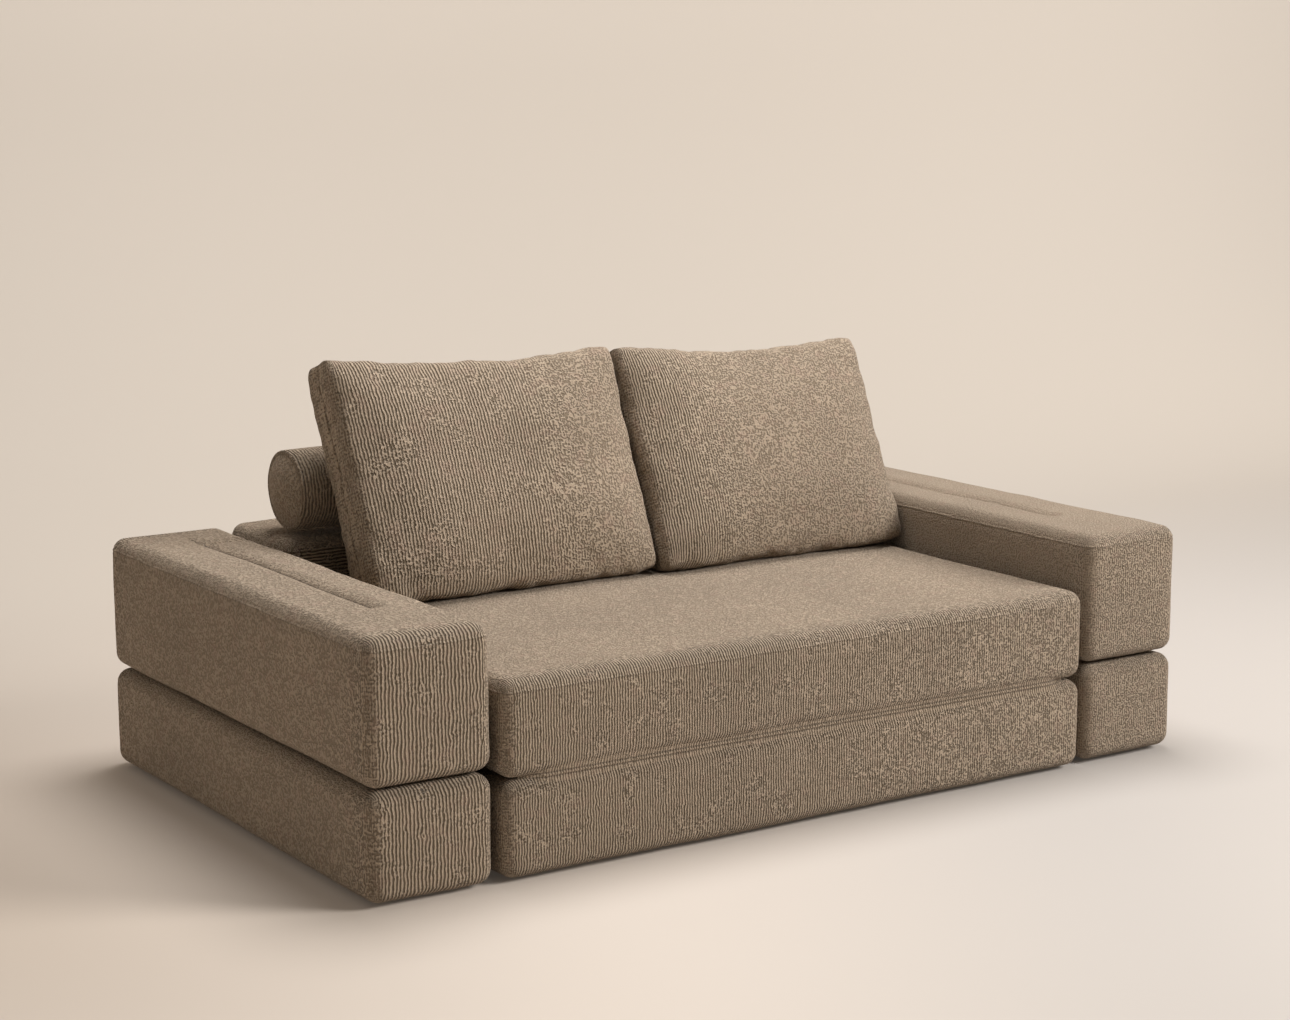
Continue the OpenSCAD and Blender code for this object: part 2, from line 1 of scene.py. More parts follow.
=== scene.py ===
import math
import bpy
import numpy as np
from mathutils import Matrix, Vector
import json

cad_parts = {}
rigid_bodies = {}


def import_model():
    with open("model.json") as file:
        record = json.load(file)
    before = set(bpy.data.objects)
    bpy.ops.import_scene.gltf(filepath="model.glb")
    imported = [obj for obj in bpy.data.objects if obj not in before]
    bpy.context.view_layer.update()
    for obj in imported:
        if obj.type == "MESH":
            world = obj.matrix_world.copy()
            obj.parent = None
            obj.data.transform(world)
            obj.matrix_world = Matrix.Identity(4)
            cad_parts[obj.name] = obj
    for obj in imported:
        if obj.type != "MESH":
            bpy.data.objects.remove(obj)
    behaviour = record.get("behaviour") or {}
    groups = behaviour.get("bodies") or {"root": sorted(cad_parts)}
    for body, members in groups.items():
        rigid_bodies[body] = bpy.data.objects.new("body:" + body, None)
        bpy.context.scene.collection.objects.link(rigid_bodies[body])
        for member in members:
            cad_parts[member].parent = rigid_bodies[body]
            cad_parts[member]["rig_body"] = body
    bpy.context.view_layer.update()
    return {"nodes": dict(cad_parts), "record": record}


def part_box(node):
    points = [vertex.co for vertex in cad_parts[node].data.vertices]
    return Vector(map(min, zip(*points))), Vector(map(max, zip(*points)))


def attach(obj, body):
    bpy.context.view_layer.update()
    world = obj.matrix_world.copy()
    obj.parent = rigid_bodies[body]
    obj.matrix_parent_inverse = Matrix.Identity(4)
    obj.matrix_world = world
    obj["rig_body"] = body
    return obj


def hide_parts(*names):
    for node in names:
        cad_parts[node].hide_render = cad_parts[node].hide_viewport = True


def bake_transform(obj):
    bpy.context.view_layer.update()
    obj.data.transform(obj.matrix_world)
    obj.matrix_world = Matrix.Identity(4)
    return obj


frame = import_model()

# Sizes are in metres, and shares and powers have no unit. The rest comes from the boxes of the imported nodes.
MM = 0.001

# Ribs of the fabric
RIB_PITCH = 8.4 * MM
SEAT_PITCH = 6.8 * MM
ARM_PITCH = {"left": 8.4 * MM, "right": 6.4 * MM}

# Blocks: rounded edges, faces that crown and faces that are drawn in where blocks meet
EDGE_R = 36 * MM
EDGE_ANGLES = (0, 9, 18, 27, 36, 45)
TOP_CROWN = 5 * MM
SIDE_CROWN = 4 * MM
ARM_REAR_CROWN = 3 * MM
DRAWN_IN = 2 * MM

# Steps of the blocks' lattice lines
FLAT_STEP = 18 * MM
LEAST_STEP = 0.9 * MM

# How far the ribs of the fronts run on over the tops, and how they fade along the sides
FRINGE = 42 * MM
NEAR_FRONT = 45 * MM

# Shallow dips of the blocks' cloth, always inward
LONG_DIP = 1.1 * MM
LONG_WAVE = 340 * MM
SHORT_DIP = 0.5 * MM
SHORT_WAVE = 110 * MM
DIP_SHIFT = 1.6

# Rounded edges of the foam cores
FOAM_R = 9 * MM
FOAM_ANGLES = (0, 15, 30, 45)

# The thin seam below a block's top, with painted shade in a dark line on its cord's underside
SEAM_ANGLE = math.radians(14)
SEAM_WANDER = 1.2 * MM
SEAM_WAVE = 90 * MM
WELT_H = 0.7 * MM
WELT_W = 2.4 * MM
WELT_GROOVE = 4.5 * MM
SEAM_LINE_AT = 0.6 * WELT_W
SEAM_LINE_W = 0.5 * WELT_W
SEAM_SHADE = 0.7

# Sewn channels, with painted shade in their creases
CHANNEL_DEPTH = 12 * MM
CHANNEL_FALL = 11 * MM
CHANNEL_PUFF = 1.6 * MM
CHANNEL_PUFF_AT = 30 * MM
CHANNEL_PUFF_W = 11 * MM
CHANNEL_INSET = 168 * MM
CHANNEL_START = 274 * MM
CHANNEL_RUN_IN = (40 * MM, -6 * MM)
CHANNEL_FADE = 160 * MM
CROSS_START = (-6 * MM, 8 * MM)
STITCH_GAP = 2.8 * MM
STITCH_W = 0.9 * MM
CREASE_SHADE_W = 5 * MM
CREASE_SHADE = 0.35
START_OVAL = 1.4
CROSS_INSET = 129 * MM

# The fold strip, measured from its fold line
STRIP_REACH = 20 * MM
STRIP_HALF_T = 1 * MM
STRIP_TUCK = 8 * MM
STRIP_SINK = 8 * MM
STRIP_WELT_H = 2.4 * MM
STRIP_WELT_W = 2.2 * MM
STRIP_CREASE = 4.6 * MM
STRIP_CREASE_DEPTH = 1.4 * MM
STRIP_CREASE_W = 1.6 * MM
STRIP_SWELL = 0.8 * MM
STRIP_WAVE = 70 * MM
STRIP_END = 70 * MM
STRIP_END_SINK = 20 * MM
STRIP_HOLLOW = 0.475
STRIP_RIBS = 0.9
STRIP_RELIEF = 0.8
# Painted shade in the creases beside the strip's cord
STRIP_CREASE_SHADE = 1.3

# Pillows: the outline, the thickness and the powers of their full shape
PILLOW_LEAN = {"left": math.radians(22.5), "right": math.radians(24.5)}
PILLOW_T = 220 * MM
PILLOW_RIM = 56 * MM
PILLOW_SAG = 30 * MM
PILLOW_SLOPE = 11 * MM
PILLOW_DRAW = 4 * MM
PILLOW_CORNER = 9 * MM
SIDE_POWER = 4
TOP_POWER = 3.2
BLEND_POWER = 2.6
CORNER_POWER = 12
FILL_SHARE = (0.76, 0.5, 0.74)

# How far a pillow's left end stands out at its foot, and how much more at its top
PILLOW_SPREAD = {"left": (6 * MM, 10 * MM), "right": (0, 0)}

# The pillows' swells, gathers and seam
PILLOW_SWELL = 2.0 * MM
PILLOW_SHIFT = 0.3
PILLOW_LONG_WAVE = 200 * MM
PILLOW_WAVE = 70 * MM
GATHER_SWELL = 1.5 * MM
GATHER_WAVE = 33 * MM
PILLOW_SEAM_W = 3.2 * MM
PILLOW_SEAM_DEPTH = 3.0 * MM
PILLOW_SEAM_SHADE = 0.8

# How full a pillow is where its swell, gathers and seam fade, and where along its sides the corners begin
SWELL_FADE = (0.97, 0.6)
GATHER_FADE = (0.85, 0.2)
SEAM_FADE = (0.12, 0.03)
CORNER_AT = (0.9, 0.99)

# The pillows' stuffing: its frames, its start below the form, its limits, and how full the held rim is
STUFF_FRAMES = 20
STUFF_FROM = 3 * MM
STUFF_OUT = 4 * MM
STUFF_IN = 8 * MM
STUFF_SLIDE = 8 * MM
STUFF_HELD = (0.8, 0.4)

# Bolster
PIPING_W = 4 * MM
PIPING_H = 3 * MM
PIPING_OUT = 0.4 * PIPING_H
PIPING_GROOVE = 0.5 * PIPING_H
BOLSTER_SHOULDER = 15 * MM
BOLSTER_PUFF = 18 * MM
BOLSTER_SWELL = 1.2 * MM
BOLSTER_WAVE = 120 * MM
BOLSTER_SHIFT = 1.2
BOLSTER_RIBS = 0.9
BOLSTER_RELIEF = 0.9
# Painted shade in the grooves beside the piping
BOLSTER_GROOVE_SHADE = 0.85
CORE_SHOULDER = 8 * MM
CORE_PUFF = 1 * MM
ROLL_EYE = 2 * MM
CAP_FADE = 10 * MM


# Small geometry helpers

def smooth(low, high, value):
    """0 below low, 1 above high, and a smooth turn between them."""
    t = np.clip((value - low) / (high - low), 0, 1)
    return t * t * (3 - 2 * t)


def ripple(points, wavelength, seed, count=20):
    """A soft random swell over space, about -1 to 1, from a sum of seeded waves."""
    rng = np.random.default_rng(seed)
    directions = rng.normal(size=(count, 3))
    directions /= np.linalg.norm(directions, axis=1)[:, None]
    lengths = wavelength * rng.uniform(0.7, 1.5, count)
    phases = rng.uniform(0, 2 * math.pi, count)
    turns = points @ (directions * (2 * math.pi / lengths)[:, None]).T + phases
    return np.sin(turns).sum(1) / math.sqrt(count * 1.6)


def normals_of(points, quads):
    """Smooth vertex normals of a quad mesh."""
    corner = points[quads]
    facing = np.cross(corner[:, 2] - corner[:, 0], corner[:, 3] - corner[:, 1])
    total = np.zeros_like(points)
    for i in range(4):
        np.add.at(total, quads[:, i], facing)
    return total / np.maximum(np.linalg.norm(total, axis=1)[:, None], 1e-12)


def edge_lines(half, radius, angles):
    """Lattice lines along one axis that lie on its two rounded edges."""
    edge = [half - radius + radius * math.tan(math.radians(a)) for a in angles]
    return [-e for e in edge] + edge


def rounded(q, half, radius):
    """For points on a box's skin, the nearest points of its core and the way outward."""
    core = np.clip(q, -(half - radius), half - radius)
    out = q - core
    return core, out / np.linalg.norm(out, axis=1)[:, None]


def laid(points, centre, floor):
    """Points moved to their centre, and flattened where they would sink below the floor."""
    points = points + np.array(centre)
    points[:, 2] = np.maximum(points[:, 2], floor)
    return points


def lattice_shell(gx, gy, gz):
    """The skin of a box lattice: its points and quads, facing outward."""
    lines = (np.asarray(gx), np.asarray(gy), np.asarray(gz))
    points, quads, start = [], [], 0
    for axis in range(3):
        a, b = lines[(axis + 1) % 3], lines[(axis + 2) % 3]
        for end in (0, -1):
            grid = np.zeros((len(a), len(b), 3))
            grid[..., axis] = lines[axis][end]
            grid[..., (axis + 1) % 3] = a[:, None]
            grid[..., (axis + 2) % 3] = b[None, :]
            index = start + np.arange(len(a) * len(b)).reshape(len(a), len(b))
            ring = [index[:-1, :-1], index[1:, :-1], index[1:, 1:], index[:-1, 1:]]
            if end == 0:
                ring.reverse()
            quads.append(np.stack([part.ravel() for part in ring], 1))
            points.append(grid.reshape(-1, 3))
            start += len(a) * len(b)
    points, quads = np.concatenate(points), np.concatenate(quads)
    unique, inverse = np.unique(np.round(points / 1e-7).astype(np.int64), axis=0, return_inverse=True)
    return unique * 1e-7, inverse.reshape(-1)[quads]


def mesh_object(name, points, quads):
    mesh = bpy.data.meshes.new(name)
    mesh.vertices.add(len(points))
    mesh.vertices.foreach_set("co", points.astype(np.float32).ravel())
    mesh.loops.add(quads.size)
    mesh.loops.foreach_set("vertex_index", quads.astype(np.int32).ravel())
    mesh.polygons.add(len(quads))
    mesh.polygons.foreach_set("loop_start", np.arange(0, quads.size, 4, dtype=np.int32))
    mesh.update(calc_edges=True)
    mesh.validate()
    mesh.shade_smooth()
    obj = bpy.data.objects.new(name, mesh)
    bpy.context.scene.collection.objects.link(obj)
    return obj


def vector_attribute(obj, name, values):
    layer = obj.data.attributes.new(name, "FLOAT_VECTOR", "POINT")
    layer.data.foreach_set("vector", np.asarray(values, np.float32).ravel())


def number_attribute(obj, name, values):
    layer = obj.data.attributes.new(name, "FLOAT", "POINT")
    layer.data.foreach_set("value", np.asarray(values, np.float32).ravel())


# Materials

class Graph:
    """Builds one material's nodes. Numbers set a socket and sockets link to it."""

    def __init__(self, name):
        self.material = bpy.data.materials.new(name)
        self.material.use_nodes = True
        self.tree = self.material.node_tree
        self.shader = self.tree.nodes["Principled BSDF"]

    def put(self, socket, value):
        if isinstance(value, bpy.types.NodeSocket):
            self.tree.links.new(value, socket)
        else:
            socket.default_value = value

    def node(self, kind, settings=(), **inputs):
        made = self.tree.nodes.new(kind)
        for key, value in dict(settings).items():
            setattr(made, key, value)
        for key, value in inputs.items():
            self.put(made.inputs[key], value)
        return made

    def math(self, operation, *values, clamp=False):
        made = self.node("ShaderNodeMath", {"operation": operation, "use_clamp": clamp})
        for socket, value in zip(made.inputs, values):
            self.put(socket, value)
        return made.outputs[0]

    def vector_math(self, operation, *values):
        made = self.node("ShaderNodeVectorMath", {"operation": operation})
        for socket, value in zip(made.inputs, values):
            self.put(socket, value)
        return made.outputs[0]

    def attribute(self, name):
        return self.node("ShaderNodeAttribute", {"attribute_name": name})

    def place(self):
        return self.node("ShaderNodeTexCoord").outputs["Object"]

    def axes(self, vector):
        return self.node("ShaderNodeSeparateXYZ", Vector=vector).outputs

    def noise(self, vector, scale, detail=0.0, distortion=0.0):
        made = self.node("ShaderNodeTexNoise", Vector=vector, Scale=scale, Detail=detail)
        self.put(made.inputs["Distortion"], distortion)
        return made

    def cells(self, vector, scale):
        return self.node("ShaderNodeTexVoronoi", Vector=vector, Scale=scale).outputs["Distance"]

    def spread(self, value, low, high, to_low=0.0, to_high=1.0):
        """The value's way from low to high, turned smoothly into the way between two other numbers."""
        made = self.node("ShaderNodeMapRange", {"interpolation_type": "SMOOTHSTEP"})
        for key, number in (("From Min", low), ("From Max", high), ("To Min", to_low), ("To Max", to_high)):
            made.inputs[key].default_value = number
        self.put(made.inputs["Value"], value)
        return made.outputs[0]

    def mix_colour(self, factor, a, b, blend="MIX"):
        made = self.node("ShaderNodeMix", {"data_type": "RGBA", "blend_type": blend})
        self.put(made.inputs["Factor"], factor)
        colours = [s for s in made.inputs if s.type == "RGBA"]
        self.put(colours[0], a)
        self.put(colours[1], b)
        return [s for s in made.outputs if s.type == "RGBA"][0]

    def bump(self, height, distance):
        made = self.node("ShaderNodeBump", Strength=1.0, Distance=distance, Height=height)
        self.set(Normal=made.outputs["Normal"])

    def set(self, **values):
        for key, value in values.items():
            self.put(self.shader.inputs[key.replace("_", " ")], value)


# Colours of the fabric, and how deep its relief is; the ribs' dark and light colours paint shade in their
# grooves and light on their crests
RIB_SHADE = (0.12, 0.086, 0.052, 1)
RIB_LIGHT = (0.475, 0.37, 0.27, 1)
BLUSH = (0.38, 0.245, 0.185, 1)
STITCH_AND_PAINTED_SHADE = (0.075, 0.055, 0.038, 1)
SHEEN = (1.0, 0.93, 0.85, 1)
FABRIC_BUMP = 4.8 * MM

# How many times a pattern of the fabric repeats in a metre, roughly
WANDER = 44.0
WORN = 15.0
MAZE = 178.0
FIBRES = 430.0
BLUSHES = 24.0
CLOUDS = 2.6

# How far the ribs wander, where they are worn, and how high the labyrinth and the fibres stand
RIB_WANDER = 4.4
RIB_JOIN = 1.4
RIB_DRIFT = 3.0
WORN_AT = (0.44, 0.70)
WORN_LEAST = 0.64
MAZE_UNDER = 1.18
MAZE_TWIST = 0.3
MAZE_H = 6.8
FIBRE_H = 0.55
RIDGE_RISE = (-0.8, 0.55)
RIDGE_MIDDLE = 0.55

# How strongly the fabric's height, blushes, clouds and seams show in its tone; the height shows as painted
# shade in the grooves and painted light on the crests
MIDDLE_TONE = 0.575
MAZE_TONE = 0.42
RIB_TONE = 0.55
BLUSH_AT = (0.5, 0.72)
BLUSH_SHARE = 0.22
CLOUD_AT = (0.3, 0.7)
CLOUD_TONES = (0.95, 1.05)
SEAM_AND_PAINTED_SHADE_TONE = 0.6


def rib_bend(g, weave):
    """The ribs wander sideways and at places by a whole rib, where two of them join."""
    wander = g.node("ShaderNodeSeparateColor", Color=g.noise(weave, WANDER).outputs["Color"])
    one = g.math("MULTIPLY_ADD", wander.outputs[0], RIB_WANDER, -RIB_WANDER / 2)
    other = g.math("MULTIPLY_ADD", wander.outputs[1], RIB_WANDER, -RIB_WANDER / 2)
    turn = g.math("ARCTAN2", other, g.math("ADD", one, RIB_JOIN))
    return g.math("MULTIPLY_ADD", wander.outputs[2], RIB_DRIFT, turn)


def rib_height(g, weave):
    """The ribs' height, and how far they cover the cloth; the labyrinth fills what they leave."""
    place = g.axes(weave)
    given = g.axes(g.attribute("ribs").outputs["Vector"])
    bend = rib_bend(g, weave)
    worn = g.spread(g.noise(weave, WORN, 2.0).outputs["Fac"], *WORN_AT, 1.0, WORN_LEAST)
    total = covered = 0.0
    for i in range(3):
        strength = g.math("MULTIPLY", given[i], worn)
        phase = g.math("MULTIPLY_ADD", place[i], 2 * math.pi / RIB_PITCH, bend)
        total = g.math("ADD", total, g.math("MULTIPLY", g.math("COSINE", phase), strength))
        covered = g.math("ADD", covered, strength)
    broken = g.math("SUBTRACT", MAZE_UNDER, covered, clamp=True)
    maze = g.math("SUBTRACT", g.noise(weave, MAZE, 0.0, MAZE_TWIST).outputs["Fac"], 0.5)
    total = g.math("MULTIPLY_ADD", g.math("MULTIPLY", maze, broken), MAZE_H, total)
    ridge = g.math("SUBTRACT", g.spread(total, *RIDGE_RISE), RIDGE_MIDDLE)
    fibre = g.math("SUBTRACT", g.noise(weave, FIBRES, 2.0).outputs["Fac"], 0.5)
    height = g.math("MULTIPLY_ADD", fibre, FIBRE_H, ridge)
    return g.math("MULTIPLY", height, g.attribute("relief").outputs["Fac"]), covered


def ribbed_fabric():
    """Chenille with narrow ribs that break up into a fine labyrinth where no rib direction is given."""
    g = Graph("ribbed_fabric")
    weave = g.attribute("weave").outputs["Vector"]
    height, covered = rib_height(g, weave)
    g.bump(height, FABRIC_BUMP)

    # Painted shade and light: the deeper the relief, the darker the grooves and the lighter the crests
    plain = g.math("MULTIPLY_ADD", covered, RIB_TONE, MAZE_TONE)
    tone = g.math("MULTIPLY_ADD", height, plain, MIDDLE_TONE, clamp=True)
    colour = g.mix_colour(tone, RIB_SHADE, RIB_LIGHT)
    blush = g.spread(g.noise(weave, BLUSHES, 2.0).outputs["Fac"], *BLUSH_AT)
    colour = g.mix_colour(g.math("MULTIPLY", blush, BLUSH_SHARE), colour, BLUSH)
    cloud = g.spread(g.noise(weave, CLOUDS, 2.0).outputs["Fac"], *CLOUD_AT, *CLOUD_TONES)
    grey = g.node("ShaderNodeCombineColor", Red=cloud, Green=cloud, Blue=cloud).outputs[0]
    colour = g.mix_colour(1.0, colour, grey, "MULTIPLY")
    # Darker along seams and stitches, and painted shade in creases, grooves and under welts
    seam = g.math("MULTIPLY", g.attribute("seam").outputs["Fac"], SEAM_AND_PAINTED_SHADE_TONE)
    g.set(Base_Color=g.mix_colour(seam, colour, STITCH_AND_PAINTED_SHADE), Roughness=0.92, Specular_IOR_Level=0.12)
    g.set(Sheen_Weight=0.2, Sheen_Roughness=0.55, Sheen_Tint=SHEEN)
    return g.material


FINE_PORES = 320.0
LARGE_PORES = 190.0


def foam(name, light, dark):
    """Open-cell foam: pores of two sizes."""
    g = Graph(name)
    place = g.place()
    pores = g.noise(place, FINE_PORES, 3.0).outputs["Fac"]
    height = g.math("MULTIPLY", pores, g.spread(g.cells(place, LARGE_PORES), 0.0, 0.5))
    g.bump(height, 1.2 * MM)
    g.set(Base_Color=g.mix_colour(g.spread(height, 0.1, 0.6), dark, light), Roughness=0.95)
    return g.material


BIRCH = ((0.55, 0.36, 0.19, 1), (0.74, 0.55, 0.34, 1))
GLUE = (0.16, 0.09, 0.05, 1)
PLY_T = 1.5 * MM
GLUE_LINE = (0.05 * MM, 0.3 * MM)


def plywood():
    """Birch plywood: pale grain on the faces and dark glue lines on the edges."""
    g = Graph("plywood")
    place = g.place()
    grain = g.noise(g.vector_math("MULTIPLY", place, (3.0, 60.0, 60.0)), 1.0, 4.0, 1.2).outputs["Fac"]
    colour = g.mix_colour(g.spread(grain, 0.3, 0.7), *BIRCH)
    ply = g.math("PINGPONG", g.axes(place)[2], PLY_T)
    glue = g.spread(ply, *GLUE_LINE, 0.6, 0.0)
    facing = g.axes(g.node("ShaderNodeNewGeometry").outputs["Normal"])[2]
    edge = g.math("SUBTRACT", 1.0, g.math("ABSOLUTE", facing), clamp=True)
    colour = g.mix_colour(g.math("MULTIPLY", glue, edge), colour, GLUE)
    g.bump(grain, 0.3 * MM)
    g.set(Base_Color=colour, Roughness=0.7)
    return g.material


PLASTIC = ((0.02, 0.018, 0.016, 1), (0.035, 0.032, 0.03, 1))
PLASTIC_GRAIN = 900.0


def moulded_plastic():
    g = Graph("glide_plastic")
    spark = g.noise(g.place(), PLASTIC_GRAIN, 2.0).outputs["Fac"]
    g.bump(spark, 0.15 * MM)
    g.set(Base_Color=g.mix_colour(spark, *PLASTIC), Roughness=0.55)
    return g.material


LOOPS = ((0.07, 0.055, 0.045, 1), (0.025, 0.02, 0.018, 1))
LOOP_CELLS = 620.0


def hook_and_loop():
    g = Graph("hook_and_loop")
    height = g.spread(g.cells(g.place(), LOOP_CELLS), 0.0, 0.6)
    g.bump(height, 0.8 * MM)
    g.set(Base_Color=g.mix_colour(height, *LOOPS), Roughness=0.95)
    return g.material


TAPE = ((0.09, 0.065, 0.045, 1), (0.22, 0.17, 0.125, 1))
THREAD_PITCH = 1.6 * MM
TEETH_PITCH = 2.5 * MM


def zip_tape():
    """Woven tape, with the zip's teeth along its middle ridge."""
    g = Graph("zip_tape")
    x, y, z = g.axes(g.place())
    along = g.math("ADD", x, y)
    thread = g.math("SINE", g.math("MULTIPLY", g.math("ADD", along, z), 2 * math.pi / THREAD_PITCH))
    teeth = g.math("SINE", g.math("MULTIPLY", along, 2 * math.pi / TEETH_PITCH))
    height = g.math("ADD", g.math("MULTIPLY", thread, 0.3), g.math("MULTIPLY", teeth, 0.5))
    g.bump(height, 0.4 * MM)
    tone = g.spread(height, -0.8, 0.8)
    g.set(Base_Color=g.mix_colour(tone, *TAPE), Roughness=0.8)
    return g.material


def metal(name, base, rough):
    g = Graph(name)
    brushed = g.noise(g.vector_math("MULTIPLY", g.place(), (40.0, 900.0, 900.0)), 1.0, 3.0).outputs["Fac"]
    g.bump(brushed, 0.05 * MM)
    g.set(Base_Color=base, Metallic=1.0, Roughness=g.spread(brushed, 0.2, 0.8, rough - 0.08, rough + 0.1))
    return g.material


BY_SLOT = {
    "cover_fabric": ribbed_fabric(),
    "foam": foam("seat_foam", (0.86, 0.77, 0.50, 1), (0.62, 0.52, 0.30, 1)),
    "comfort_foam": foam("comfort_foam", (0.90, 0.88, 0.80, 1), (0.70, 0.67, 0.58, 1)),
    "plywood": plywood(),
    "glide_plastic": moulded_plastic(),
    "hook_and_loop": hook_and_loop(),
    "zip_metal": metal("zip_metal", (0.42, 0.36, 0.28, 1), 0.38),
    "zip_tape": zip_tape(),
    "steel": metal("zinc_steel", (0.60, 0.60, 0.61, 1), 0.4),
}
for part in frame["record"]["subparts"]:
    node = frame["nodes"][part["node"]]
    node.data.materials.clear()
    node.data.materials.append(BY_SLOT[part["material_slot"]])


# Soft blocks

def axis_lines(half, radius, extra=(), sewn=False):
    """Lattice lines along one axis: fine round the edges and at the seam, even in between."""
    lines = edge_lines(half, radius, EDGE_ANGLES) + list(extra)
    if sewn:
        lines += [half - radius * (1 - math.tan(SEAM_ANGLE)) + k * SEAM_LINE_AT for k in range(-4, 5)]
    flat = half - radius
    count = max(2, round(2 * flat / FLAT_STEP))
    lines = sorted(lines + np.linspace(-flat, flat, count + 1)[1:-1].tolist())
    kept = [lines[0]]
    for line in lines[1:-1]:
        if line - kept[-1] > LEAST_STEP and lines[-1] - line > LEAST_STEP:
            kept.append(line)
    return kept + [lines[-1]]


def shrunk(low, high, bulge):
    """A face's outermost plane lies at the box, so a face that crowns starts lower by its crown."""
    low = [low[a] + max(0, bulge[2 * a]) for a in range(3)]
    high = [high[a] - max(0, bulge[2 * a + 1]) for a in range(3)]
    return np.array(low), np.array(high)


def welt(distance):
    """A thin cord of fabric lying in a shallow groove."""
    cord = np.exp(-((distance / WELT_W) ** 2))
    sides = np.exp(-(((np.abs(distance) - WELT_GROOVE) / WELT_W) ** 2))
    return WELT_H * (cord - sides)


def set_fabric(obj, weave, ribs, relief, seam):
    """Where the cloth lies, how strong its ribs are across X, Y and Z, how deep, and how near a seam, which
    also carries painted shade in creases, grooves and under welts.
    """
    vector_attribute(obj, "weave", weave)
    vector_attribute(obj, "ribs", ribs)
    number_attribute(obj, "relief", relief)
    number_attribute(obj, "seam", seam)


# Ribs by place: where a face turns, where the sofa's right part begins, and how strong and deep they are
UPRIGHT = (0.25, 0.6)
TOP_TURN = (0.5, 0.9)
FRONT_TURN = (0.35, 0.85)
RIGHT_PART = (-0.35, 1.0)
RIGHT_LESS_RIBS = 0.45
CORNER_LESS_RIBS = 0.55
SIDE_RIBS = 0.12
NEAR_RIBS = 0.4
CORNER_RIBS = 0.28
FRONT_RELIEF = 1.35
RIGHT_LESS_RELIEF = 0.28
PLAIN_RELIEF = 0.85
NEAR_RELIEF = 0.3
CORNER_LESS_RELIEF = 0.35


